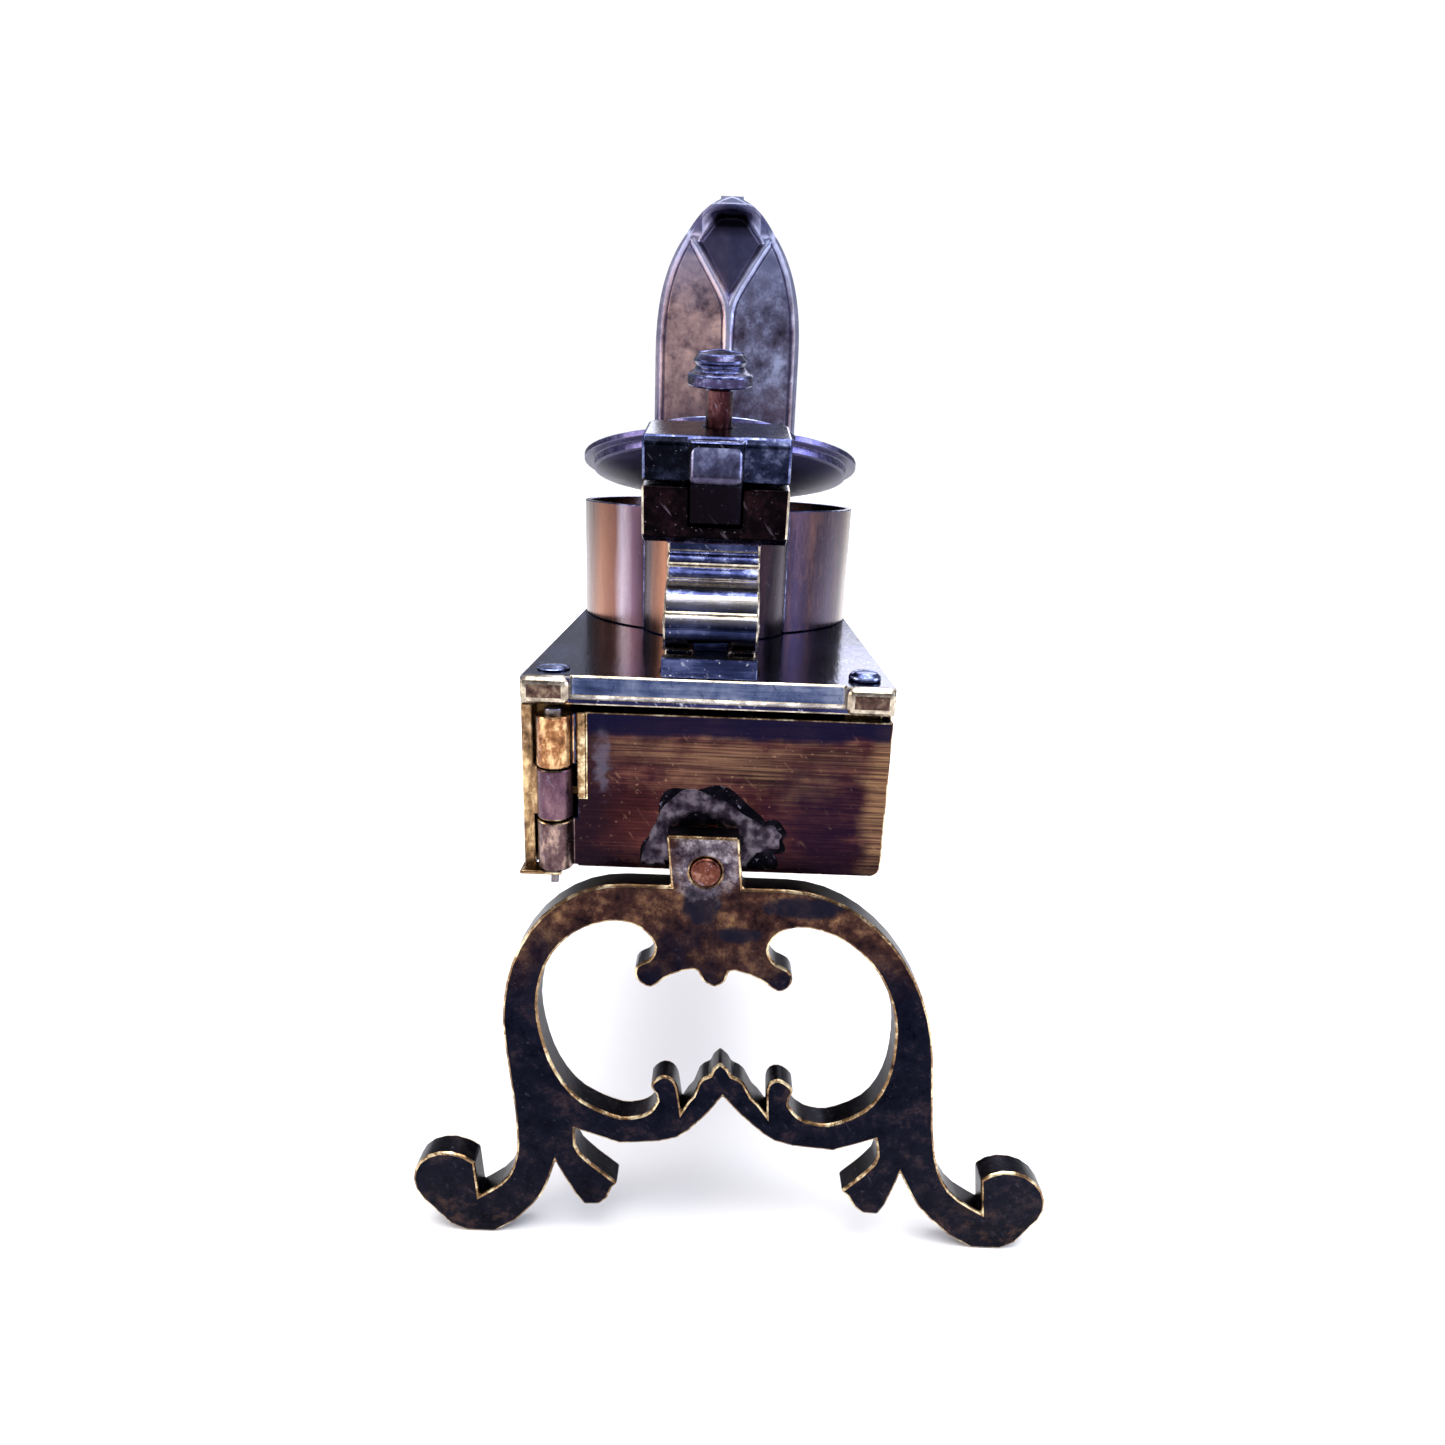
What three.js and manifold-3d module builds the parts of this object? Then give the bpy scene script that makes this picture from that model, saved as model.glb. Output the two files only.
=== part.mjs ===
// Flintlock tinder lighter: a brass box with a hinged end door on a cast scroll foot, a steel-jawed
// cock on the top plate, a round tinder drum with a hinged lid and striking steel, and a pistol butt.
// X runs to the right, Y from the door end towards the butt, Z up from the table. Millimetres.
import * as THREE from 'three';
import { mergeVertices } from 'three/addons/utils/BufferGeometryUtils.js';
import Module from 'manifold-3d';

const wasm = await Module();
wasm.setup();

// ---- box ----
const plateUnder = 64.2;        // underside of the top plate above the table
const plateThick = 2.9;
const caseWidth = 38;
const caseLength = 66;
const caseHeight = 18;
const sheet = 1.2;              // brass sheet of the box and the door
const seat = 0.05;              // gap between pieces that rest on each other
const slip = 0.05;              // radial clearance of a turning fit
const shelfThick = 0.8;
const shelfDrop = 9.6;          // from the plate's underside to the shelf's top
const storeLength = 33;         // depth of the store behind the door

// ---- door and foot ----
const knuckleR = 1.85;
const hingePinR = 0.95;
const hingeInset = 3.4;         // hinge line in from the box's left side
const footThick = 3.0;
const footLean = 0.10;          // sideways lean of the foot, per millimetre of height
const footRivetR = 1.6;
const footRivetDrop = 16.6;     // rivet below the plate's underside

// ---- cock ----
const neckHalf = 4.9;
const rollR = 2.3;              // lower roll of the neck, round the pivot
const pivotY = 4.9;
const pivotRise = 4.6;          // pivot above the plate's top
const cockPinR = 0.7;
const lugHalf = 1.9;
const jawHalf = 7.6;
const jawTilt = 12;             // degrees, jaws tipped back from upright
const headY = 6.4;              // rear edge of the jaws' gap
const headRise = 18.9;          // the same, above the plate's top
const screwShankR = 1.4;
const screwHeadR = 3.35;
const screwLift = 8.5;          // underside of the screw's collar above the gap

// ---- drum, lid and steel ----
const drumR = 19;
const drumY = 45;
const drumWall = 0.8;
const drumHeight = 15.6;
const troughR = 9.5;            // half-round bay on the drum's front
const troughY = 30.9;
const lidThick = 0.8;
const lidOverhang = 0.2;
const lidGap = 0.15;
const lidRest = 12.5;           // degrees that the lid stands open
const lidPinR = 0.8;
const lidKnuckleR = 1.35;
const steelHalf = 8.7;
const steelHeight = 25.6;
const steelThick = 2.0;
const steelY = 28.6;            // front face of the steel with the lid shut

// ---- trigger and cross-bolt ----
const boltY = 49;
const boltR = 1.0;
const boltDrop = 2.5;           // bolt below the plate's underside
const bossR = 2.2;
const triggerHalf = 1.5;

// ---- butt ----
const buttHalf = 10;
const buttReach = 62;           // beyond the box
const capFrom = 9;              // height of the butt cap
const capScrewIn = 13;          // cap screw, in from the butt's reach

// ---- screws ----
const screwR = 0.9;
const screwHeadR2 = 1.7;

// Places that follow from those sizes.
const plateTop = plateUnder + plateThick;
const caseBottom = plateUnder - caseHeight;
const halfWidth = caseWidth / 2;
const wallInside = halfWidth - sheet;
const doorFace = 0.1;
const doorBack = doorFace + sheet;
const caseFront = doorBack + 0.1;
const shelfTop = plateUnder - shelfDrop;
const hingeX = -halfWidth + hingeInset;
const pivotZ = plateTop + pivotRise;
const boltZ = plateUnder - boltDrop;
const drumBase = plateTop + seat;
const drumTop = drumBase + drumHeight;
const lidUnder = drumTop + lidGap;
const lidR = drumR + lidOverhang;
const lidAxisY = drumY + drumR + 2.4;
const lidAxisZ = lidUnder + lidThick / 2;

const model = new THREE.Group();

// ---- helpers: solids from three.js geometries, joined and cut by manifold-3d ----
function solid(geometry) {
  const plain = geometry.clone();
  plain.deleteAttribute('normal');
  plain.deleteAttribute('uv');
  const merged = mergeVertices(plain, 1e-4);
  return new wasm.Manifold(new wasm.Mesh({
    numProp: 3,
    vertProperties: new Float32Array(merged.attributes.position.array),
    triVerts: new Uint32Array(merged.index.array),
  }));
}

function join(...solids) {
  return solids.reduce((sum, next) => sum.add(next));
}

function cut(body, ...tools) {
  return tools.reduce((left, tool) => left.subtract(tool), body);
}

function geometryOf(body) {
  const mesh = body.getMesh();
  const geometry = new THREE.BufferGeometry();
  geometry.setAttribute('position', new THREE.BufferAttribute(new Float32Array(mesh.vertProperties), 3));
  geometry.setIndex(new THREE.BufferAttribute(new Uint32Array(mesh.triVerts), 1));
  geometry.computeVertexNormals();
  return geometry;
}

function add(name, body, finish, parent = model) {
  const mesh = new THREE.Mesh(geometryOf(body), new THREE.MeshStandardMaterial(finish));
  mesh.name = name;
  parent.add(mesh);
  return mesh;
}

// A set of like pieces, each its own mesh, numbered from 1.
function addEach(name, bodies, finish, parent = model) {
  bodies.forEach((body, index) => add(`${name}_${index + 1}`, body, finish, parent));
}

function block(x0, x1, y0, y1, z0, z1) {
  const geometry = new THREE.BoxGeometry(x1 - x0, y1 - y0, z1 - z0);
  geometry.translate((x0 + x1) / 2, (y0 + y1) / 2, (z0 + z1) / 2);
  return solid(geometry);
}

function rod(axis, from, to, a, b, radius, sides = 24) {
  const geometry = new THREE.CylinderGeometry(radius, radius, to - from, sides);
  const middle = (from + to) / 2;
  if (axis === 'x') geometry.rotateZ(Math.PI / 2).translate(middle, a, b);
  if (axis === 'y') geometry.translate(a, middle, b);
  if (axis === 'z') geometry.rotateX(Math.PI / 2).translate(a, b, middle);
  return solid(geometry);
}

// A turned piece: profile points are [radius, height], from the axis round to the axis.
function turned(profile, sides = 32) {
  const points = profile.map(([radius, height]) => new THREE.Vector2(radius, height));
  return solid(new THREE.LatheGeometry(points, sides).rotateX(Math.PI / 2));
}

function shapeOf(points) {
  return new THREE.Shape(points.map(([a, b]) => new THREE.Vector2(a, b)));
}

// Side outline [y, z] carried across the width from x0 to x1.
function across(shape, x0, x1, curveSegments = 8) {
  const geometry = new THREE.ExtrudeGeometry(shape, { depth: x1 - x0, bevelEnabled: false, curveSegments });
  geometry.rotateX(Math.PI / 2).rotateZ(Math.PI / 2).translate(x0, 0, 0);
  return solid(geometry);
}

// Front outline [x, z] carried back from y0 to y1.
function back(shape, y0, y1, curveSegments = 8) {
  const geometry = new THREE.ExtrudeGeometry(shape, { depth: y1 - y0, bevelEnabled: false, curveSegments });
  geometry.rotateX(Math.PI / 2).translate(0, y1, 0);
  return solid(geometry);
}

// Plan outline [x, y] carried up from z0 to z1.
function up(shape, z0, z1, curveSegments = 12) {
  const geometry = new THREE.ExtrudeGeometry(shape, { depth: z1 - z0, bevelEnabled: false, curveSegments });
  geometry.translate(0, 0, z0);
  return solid(geometry);
}

function shift(body, x, y, z) {
  return body.translate([x, y, z]);
}

// ---- finishes ----
const darkBrass = { color: 0x3a2a2c, roughness: 0.35, metalness: 1 };
const wornBrass = { color: 0x8a6a3e, roughness: 0.4, metalness: 1 };
const plateBrass = { color: 0x1d2238, roughness: 0.2, metalness: 1 };
const blueSteel = { color: 0x4a5278, roughness: 0.35, metalness: 1 };
const brightSteel = { color: 0x8f93a8, roughness: 0.3, metalness: 1 };
const greySteel = { color: 0x6d6668, roughness: 0.4, metalness: 1 };
const walnut = { color: 0x4a2c1a, roughness: 0.5, metalness: 0 };

// ---- box: folded tray with its middle hinge knuckle, open at the front and the top ----
const knuckleBottom = caseBottom + 0.15;
const knuckleTop = plateUnder - 0.8;
const knuckleStep = (knuckleTop - knuckleBottom) / 3;
const knuckleGap = 0.12;
const triggerSlotHalf = triggerHalf + 0.5;
const triggerSlotFront = boltY - 4.2;
const triggerSlotBack = boltY + 5;
const guardFront = boltY - 13;
const guardBack = caseLength - 4;
const tangScrewZ = [caseBottom + 5, plateUnder - 4.5];

function knuckle(index) {
  const from = knuckleBottom + index * knuckleStep + knuckleGap;
  const to = knuckleBottom + (index + 1) * knuckleStep - knuckleGap;
  return { from, to, body: rod('z', from, to, hingeX, 0, knuckleR) };
}

const hingeBore = rod('z', caseBottom - 5, plateUnder, hingeX, 0, hingePinR + slip);
const middleKnuckle = knuckle(1);
const tray = join(
  block(-halfWidth, halfWidth, caseFront, caseLength, caseBottom, caseBottom + sheet),
  block(-halfWidth, -wallInside, doorFace, caseLength, caseBottom, plateUnder - seat),
  block(wallInside, halfWidth, caseFront, caseLength, caseBottom, plateUnder - seat),
  block(-halfWidth, halfWidth, caseLength - sheet, caseLength, caseBottom, plateUnder - seat),
);
add('case_body', cut(
  join(
    cut(tray, rod('z', caseBottom - 1, plateUnder + 1, hingeX, 0, knuckleR + 0.2)),
    block(-wallInside - 0.2, hingeX - 1.2, doorFace, doorBack, middleKnuckle.from, middleKnuckle.to),
    middleKnuckle.body,
  ),
  hingeBore,
  rod('x', -halfWidth - 1, halfWidth + 1, boltY, boltZ, boltR + slip),
  block(-triggerSlotHalf, triggerSlotHalf, triggerSlotFront, triggerSlotBack, caseBottom - 1, caseBottom + 2),
  ...[guardFront, guardBack].map((y) => rod('z', caseBottom - 1, caseBottom + 2, 0, y, screwR + slip)),
  ...tangScrewZ.map((z) => rod('y', caseLength - 3, caseLength + 1, 0, z, screwR + slip)),
), darkBrass);

// ---- shelf and bulkhead: the lock above, the store below ----
const shelfHalf = wallInside - seat;
const shelfFront = 2.2;
add('inner_shelf', join(
  block(-shelfHalf, shelfHalf, shelfFront, storeLength + shelfThick, shelfTop - shelfThick, shelfTop),
  block(-shelfHalf, shelfHalf, storeLength, storeLength + shelfThick, caseBottom + sheet + seat, shelfTop),
), wornBrass);

// ---- corner lugs that take the plate screws ----
const lugSize = 3.5;
const lugFront = 2.0;
const screwX = wallInside - seat - lugSize / 2 + 0.2;
const screwFrontY = lugFront + 1.5;
const screwBackY = caseLength - sheet - seat - lugSize / 2;
const screwPlaces = [-1, 1].flatMap((side) => [[side * screwX, screwFrontY], [side * screwX, screwBackY]]);
const lugBack = caseLength - sheet - seat - lugSize;
addEach('corner_lug', screwPlaces.map(([x, y]) => {
  const left = x < 0 ? -shelfHalf : shelfHalf - lugSize;
  const front = y === screwFrontY ? lugFront : lugBack;
  return cut(
    block(left, left + lugSize, front, front + lugSize, shelfTop + seat, plateUnder - 2 * seat),
    rod('z', shelfTop, plateUnder + 1, x, y, screwR + slip),
  );
}), wornBrass);

// ---- top plate: raised corners, a sloped front between them, slots for the cock ----
const cornerWidth = 5.2;
const frontLip = 0.8;
const frontDepth = 0.9;
const slotInner = lugHalf + 0.2;
const slotOuter = neckHalf + 0.2;
const slotFront = pivotY - 1.5;
const slotBack = pivotY + 10.5;
const frontSlope = across(shapeOf([
  [-1, plateUnder + frontLip],
  [0.35, plateUnder + frontLip],
  [frontDepth, plateTop + 0.5],
  [-1, plateTop + 0.5],
]), -halfWidth + cornerWidth, halfWidth - cornerWidth);
const tailSlots = [-1, 1].map((side) => block(
  Math.min(side * slotInner, side * slotOuter),
  Math.max(side * slotInner, side * slotOuter),
  slotFront, slotBack, plateUnder - 1, plateTop + 1,
));
const springScrews = [[-3.2, 36], [0, caseLength - 8]];
add('top_plate', cut(
  block(-halfWidth, halfWidth, 0, caseLength, plateUnder, plateTop),
  frontSlope,
  ...tailSlots,
  ...screwPlaces.map(([x, y]) => rod('z', plateUnder - 1, plateTop + 1, x, y, screwR + slip)),
  ...springScrews.map(([x, y]) => rod('z', plateUnder - 1, plateUnder + 2.1, x, y, screwR + slip)),
), plateBrass);

// ---- plate screws: three mushroom heads and one flush cap at the left front corner ----
function plateScrew(x, y, flush) {
  const shank = rod('z', shelfTop + 1, plateTop + 0.3, x, y, screwR, 16);
  const rise = flush ? 0.35 : 0.9;
  const head = turned([
    [0, plateTop + seat], [screwHeadR2, plateTop + seat], [screwHeadR2, plateTop + rise * 0.5],
    [screwHeadR2 * 0.7, plateTop + rise], [0, plateTop + rise + 0.1],
  ], 20);
  const slot = block(x - 2, x + 2, y - 0.2, y + 0.2, plateTop + rise - 0.25, plateTop + 3);
  return cut(join(shank, shift(head, x, y, 0)), slot);
}
addEach('plate_screw', screwPlaces.map(([x, y]) => plateScrew(x, y, x < 0 && y < drumY / 2)), blueSteel);

// ---- door: flat sheet, two knuckles and a raised flange next to them ----
const doorLeft = hingeX + 2.3;
const doorTop = plateUnder - 0.7;
const doorFoot = caseBottom + 0.1;
const cornerR = 1.2;
const doorOutline = new THREE.Shape();
doorOutline.moveTo(doorLeft, doorFoot);
doorOutline.lineTo(halfWidth - cornerR, doorFoot);
doorOutline.absarc(halfWidth - cornerR, doorFoot + cornerR, cornerR, -Math.PI / 2, 0, false);
doorOutline.lineTo(halfWidth, doorTop);
doorOutline.lineTo(doorLeft, doorTop);
const footRivetZ = plateUnder - footRivetDrop;
const footCentre = 0.4;
const doorKnuckles = [knuckle(0), knuckle(2)];
add('front_door', cut(
  join(
    back(doorOutline, doorFace, doorBack),
    ...doorKnuckles.map((piece) => piece.body),
    ...doorKnuckles.map(({ from, to }) => block(hingeX + 1.2, doorLeft + 0.2, doorFace, doorBack, from, to)),
    block(doorLeft, doorLeft + 0.9, doorFace - 0.3, doorFace + 0.1, caseBottom + 8, doorTop),
  ),
  hingeBore,
  rod('y', -1, doorBack + 1, footCentre, footRivetZ, footRivetR + slip),
), darkBrass);

// ---- hinge pin: a split pin, its two ends bent apart under the box ----
add('door_hinge_pin', join(
  rod('z', caseBottom - 0.2, knuckleTop + 0.5, hingeX, 0, hingePinR, 16),
  ...[-1, 1].map((side) => across(shapeOf([
    [side * 0.15, caseBottom + 0.5], [side * 0.75, caseBottom + 0.5],
    [side * 1.15, caseBottom - 1.3], [side * 0.65, caseBottom - 1.3],
  ]), hingeX - 0.4, hingeX + 0.4)),
), greySteel);

// ---- spring catch on the door's inside ----
const catchX = halfWidth - 2.4;
const catchLow = caseBottom + 2.5;
const catchHigh = catchLow + 3;
add('door_catch', join(
  block(catchX - 4.1, catchX, doorBack + seat, doorBack + 0.6, catchLow, catchHigh),
  block(catchX - 0.6, catchX, doorBack + seat, doorBack + 4.5, catchLow, catchHigh),
), greySteel);

// ---- cast scroll foot: right half drawn, left half mirrored, then leaned ----
const footTop = footRivetZ + 3.9;
const shoulderZ = caseBottom - 0.35;
const tabHalf = 3.75;
const toe = { x: 32.4, z: 6.7, r: 4.4 };
const ring = { x: 8.5, z: 26, rx: 15.2, rz: shoulderZ - 26 };

function smooth(points, count) {
  const curve = new THREE.SplineCurve(points.map(([x, z]) => new THREE.Vector2(x, z)));
  return curve.getPoints(count).map((point) => [point.x, point.y]);
}

function arc(x, z, rx, rz, from, to, count) {
  return Array.from({ length: count + 1 }, (_, step) => {
    const angle = THREE.MathUtils.degToRad(from + (to - from) * step / count);
    return [x + rx * Math.cos(angle), z + rz * Math.sin(angle)];
  });
}

const outsideHalf = [
  [tabHalf, footTop],
  [tabHalf, shoulderZ],
  ...arc(ring.x, ring.z, ring.rx, ring.rz, 90, 0, 12),
  ...smooth([[23.7, 17], [24.2, 11.6], [25.9, 7.7], [29.4, 5.1]], 8),
  [29.3, 7.8],
  ...arc(toe.x, toe.z, toe.r, toe.r, 135, -50, 10),
  [33.4, 0.9],
  [31.6, 0],
  [28.2, 0],
  ...smooth([[25.4, 1.8], [22.0, 5.6], [19.9, 10.3]], 6),
  [19.3, 8.6], [18.1, 5.8], [17.2, 4.4], [15.4, 4.5], [14.4, 5.4], [13.7, 6.9], [13.0, 7.6],
  ...smooth([[15.4, 9.9], [17.2, 12.2], [17.1, 15.0]], 5),
  ...smooth([[12.2, 13.2], [6.1, 14.0], [2.6, 16.8], [0, 20]], 8),
];
const insideHalf = [
  ...smooth([[0, 34.0], [1.2, 34.7], [2.0, 36.1], [4.8, 35.2], [6.9, 33.7], [8.4, 34.8], [8.2, 36.3],
    [6.6, 37.3], [6.1, 39.0], [7.5, 40.9], [10.4, 41.5], [14.4, 40.0], [17.6, 36.6], [19.3, 32.0],
    [19.4, 27.4], [18.4, 22.7], [16.1, 19.0], [12.2, 16.9], [9.8, 17.0], [8.3, 17.8], [7.4, 19.2]], 56),
  ...smooth([[7.5, 20.1], [8.0, 21.0], [7.5, 21.9], [6.5, 22.5], [5.5, 22.2], [5.0, 21.2], [4.9, 19.6]], 12),
  [4.8, 17.9], [4.0, 19.2], [3.3, 20.0], [2.5, 21.9], [2.0, 22.4], [1.2, 22.8], [0.8, 23.7], [0, 24.5],
];

function mirrored(half) {
  const left = half.filter(([x]) => x > 1e-6).map(([x, z]) => [-x, z]).reverse();
  return [...half, ...left];
}

function leaned(points) {
  return points.map(([x, z]) => [footCentre + x + footLean * (footRivetZ - z), z]);
}

const footOutline = shapeOf(leaned(mirrored(outsideHalf)));
const footWindow = shapeOf(leaned(mirrored(insideHalf)));
const footFace = doorFace - seat - footThick;
add('front_foot', cut(
  back(footOutline, footFace, doorFace - seat),
  back(footWindow, footFace - 1, doorFace + 1),
  rod('y', footFace - 1, doorFace + 1, footCentre, footRivetZ, footRivetR + slip),
), wornBrass);
add('foot_rivet', rod('y', footFace - 0.25, doorBack + seat, footCentre, footRivetZ, footRivetR, 24), {
  color: 0x7a4a34, roughness: 0.4, metalness: 1,
});

// ---- cock: fixed base and lug, neck with its lower jaw, top jaw and jaw screw ----
const baseFront = 0.95;
const baseTop = pivotZ - rollR - 0.2;
const neckTop = headRise + plateTop;
const lugR = rollR - 0.8;
add('cock_base', cut(
  join(
    block(-neckHalf, neckHalf, baseFront, slotFront - 0.4, plateTop + seat, baseTop),
    block(-lugHalf, lugHalf, slotFront - 0.6, pivotY + 3.1, plateTop + seat, baseTop),
    block(-lugHalf, lugHalf, pivotY + 0.4, pivotY + 2.1, baseTop - 0.1, pivotZ),
    rod('x', -lugHalf, lugHalf, pivotY, pivotZ, lugR, 28),
  ),
  rod('x', -lugHalf - 1, lugHalf + 1, pivotY, pivotZ, cockPinR + slip),
), darkBrass);
add('cock_pin', rod('x', -neckHalf - 0.15, neckHalf + 0.15, pivotY, pivotZ, cockPinR, 20), greySteel);

// The neck's side outline, taken from the pivot upwards.
const neckOutline = shapeOf([
  ...arc(pivotY, pivotZ, rollR, rollR, 330, 135, 14),
  [pivotY - 1.25, pivotZ + 1.6],
  ...smooth([[pivotY - 1.0, pivotZ + 2.6], [pivotY + 0.1, pivotZ + 3.9], [pivotY + 2.2, pivotZ + 4.6]], 6),
  [headY + 1.0, neckTop - 9.7],
  ...smooth([[headY + 1.0, neckTop - 9.5], [headY + 1.2, neckTop - 8.9], [headY + 1.7, neckTop - 8.4]], 4),
  ...smooth([[headY + 1.5, neckTop - 8.2], [headY + 1.6, neckTop - 7.5], [headY + 2.2, neckTop - 6.9]], 4),
  [headY + 2.0, neckTop - 5.2],
  [headY + 9.0, neckTop - 2.5],
  ...smooth([[headY + 8.6, neckTop - 6.4], [headY + 5.8, neckTop - 9.6], [pivotY + 3.4, pivotZ + 2.0]], 7),
  [pivotY + 2.0, pivotZ - 1.15],
]);
const head = new THREE.Matrix4()
  .makeTranslation(0, headY, neckTop)
  .multiply(new THREE.Matrix4().makeRotationX(THREE.MathUtils.degToRad(jawTilt)));

// Moves a solid from the jaws' own frame into place: y runs into the jaws, z along the screw.
function atHead(body) {
  return body.transform(Array.from(head.elements));
}

const jawDepth = 12.5;
const screwInJaw = 6.2;
const tongueHalf = 2.7;
const tongueDeep = 4.1;
const jawEndHalf = jawHalf - 1.6;
const jawPlan = shapeOf([
  [-jawHalf, 0], [jawHalf, 0], [jawHalf, 7.5],
  [jawEndHalf, jawDepth], [-jawEndHalf, jawDepth], [-jawHalf, 7.5],
]);
const lowerJaw = across(shapeOf([
  [0, -0.25], [jawDepth, -0.25], [jawDepth, -2.2], [9.5, -5.6], [1.3, -6.4], [0, -5.5],
]), -jawHalf, jawHalf).intersect(up(jawPlan, -8, 8));
const lugPocket = join(
  rod('x', -slotInner, slotInner, pivotY, pivotZ, lugR + 0.15, 28),
  block(-slotInner, slotInner, pivotY - 3, pivotY + 9, pivotZ - 10, pivotZ - 1.15),
  block(-slotInner, slotInner, pivotY - 0.3, pivotY + 9, pivotZ - 2, pivotZ + lugR + 0.3),
);
const tailFront = pivotY - 1.0;
add('cock_body', cut(
  join(
    across(neckOutline, -neckHalf, neckHalf),
    atHead(lowerJaw),
    block(slotInner + 0.2, neckHalf - 0.1, tailFront, pivotY + 1.6, pivotZ - 12.5, pivotZ),
    block(-neckHalf + 0.1, -slotInner - 0.2, tailFront, pivotY + 1.8, pivotZ - 9.2, pivotZ),
  ),
  lugPocket,
  rod('x', -neckHalf - 1, neckHalf + 1, pivotY, pivotZ, cockPinR + slip),
  atHead(block(-tongueHalf - 0.15, tongueHalf + 0.15, -1, 1.15, -tongueDeep - 0.25, 1)),
  atHead(rod('z', -12, 1, 0, screwInJaw, screwShankR + slip)),
), darkBrass);

add('top_jaw', atHead(cut(
  join(
    across(shapeOf([
      [0, 0.25], [jawDepth, 0.25], [jawDepth, 1.8], [9.0, 4.7], [0.8, 4.7], [0, 4.0],
    ]), -jawHalf + 0.1, jawHalf - 0.1).intersect(up(jawPlan, -8, 8)),
    block(-tongueHalf, tongueHalf, -0.8, 0.9, 0.25, 4.4),
    block(-tongueHalf, tongueHalf, 0.05, 0.9, -tongueDeep, 0.4),
  ),
  rod('z', -1, 9, 0, screwInJaw, screwShankR + 0.15),
)), blueSteel);

const jawScrew = cut(
  turned([
    [0, -5.2], [screwShankR - 0.4, -5.2], [screwShankR, -4.6], [screwShankR, screwLift],
    [screwHeadR, screwLift + 0.3], [screwHeadR, screwLift + 1.4],
    [screwHeadR - 0.7, screwLift + 1.8], [screwHeadR - 0.9, screwLift + 2.2],
    [screwHeadR - 0.6, screwLift + 2.7], [screwHeadR - 1.1, screwLift + 3.4], [0, screwLift + 3.8],
  ]),
  block(-4, 4, -0.35, 0.35, screwLift + 2.9, screwLift + 6),
);
add('jaw_screw', atHead(shift(jawScrew, 0, screwInJaw, 0)), brightSteel);

// ---- lock springs under the plate ----
const bend = springScrews[0][1] + 4;
add('mainspring', cut(
  join(
    block(-4.6, -1.8, slotBack + 0.6, bend, plateUnder - 1.2, plateUnder - 0.2),
    block(-4.6, -1.8, slotBack + 0.6, bend, plateUnder - 4.4, plateUnder - 3.5),
    block(-4.6, -1.8, bend - 0.9, bend, plateUnder - 4.4, plateUnder - 0.2),
    block(-4.6, -1.8, slotBack + 0.6, slotBack + 1.5, plateUnder - 4.4, plateUnder - 2.4),
  ),
  rod('z', plateUnder - 2, plateUnder + 1, springScrews[0][0], springScrews[0][1], screwR + slip),
), blueSteel);
add('trigger_spring', cut(
  join(
    block(-2.2, 2.2, springScrews[1][1] - 3, springScrews[1][1] + 3, plateUnder - 0.7, plateUnder - 0.2),
    block(-1.3, 1.3, boltY + 3.5, springScrews[1][1], plateUnder - 0.7, plateUnder - 0.2),
  ),
  rod('z', plateUnder - 2, plateUnder + 1, ...springScrews[1], screwR + slip),
), blueSteel);
addEach('spring_screw', springScrews.map(([x, y], index) => {
  const under = plateUnder - (index === 0 ? 1.25 : 0.75);
  return join(
    rod('z', under - 0.8, under, x, y, 1.35, 16),
    rod('z', under - 0.4, plateUnder + 1.8, x, y, screwR, 16),
  );
}), greySteel);

// ---- trigger: one lever with the sear bar, on the cross-bolt ----
const searNose = slotBack - 3.6;
const searTop = plateUnder - 3.9;
const barX0 = slotInner;
const barX1 = neckHalf + 0.1;
const triggerTip = caseBottom - 13;
const blade = shapeOf([
  ...smooth([[boltY - 2.2, boltZ - 0.5], [boltY - 1.8, caseBottom + 3], [boltY - 1.2, caseBottom - 4],
    [boltY + 1.0, caseBottom - 9], [boltY + 0.6, triggerTip]], 12),
  ...smooth([[boltY + 1.8, triggerTip + 0.1], [boltY + 3.1, caseBottom - 8], [boltY + 2.2, caseBottom - 1],
    [boltY + 2.2, boltZ - 0.5]], 10),
]);
add('trigger', cut(
  join(
    rod('x', -triggerHalf, barX1, boltY, boltZ, bossR, 28),
    across(blade, -triggerHalf, triggerHalf),
    block(barX0, barX1, searNose, boltY, searTop - 2.0, searTop - 0.5),
    block(barX0, barX1, searNose, searNose + 1.4, searTop - 2.0, searTop),
    block(-triggerHalf, triggerHalf, boltY, boltY + 7, boltZ - 1.6, boltZ - 0.2),
  ),
  rod('x', -triggerHalf - 1, barX1 + 1, boltY, boltZ, boltR + slip),
), greySteel);

// ---- cross-bolt through both sides, with a domed head and a domed nut ----
const domeR = 1.75;
function dome(side) {
  const body = turned([
    [0, 0], [domeR, 0], [domeR, 0.9], [domeR * 0.85, 1.8], [domeR * 0.5, 2.5], [0, 2.8],
  ], 24).rotate([0, side * 90, 0]);
  return shift(body, side * (halfWidth + seat), boltY, boltZ);
}
add('cross_bolt', join(
  dome(-1),
  rod('x', -halfWidth - 0.5, halfWidth + 1.6, boltY, boltZ, boltR),
), wornBrass);
add('cross_nut', cut(
  dome(1),
  rod('x', halfWidth - 1, halfWidth + 1.7, boltY, boltZ, boltR + slip),
), brightSteel);

// ---- tinder drum with its half-round bay towards the cock ----
const innerR = drumR - drumWall;
add('tinder_drum', cut(
  join(
    rod('z', drumBase, drumTop, 0, drumY, drumR, 64),
    rod('z', drumBase, drumTop, 0, troughY, troughR, 40),
  ),
  rod('z', drumBase + drumWall, drumTop + 1, 0, drumY, innerR, 64),
  rod('z', drumBase + drumWall, drumTop + 1, 0, troughY, troughR - drumWall, 40),
), darkBrass);

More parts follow.
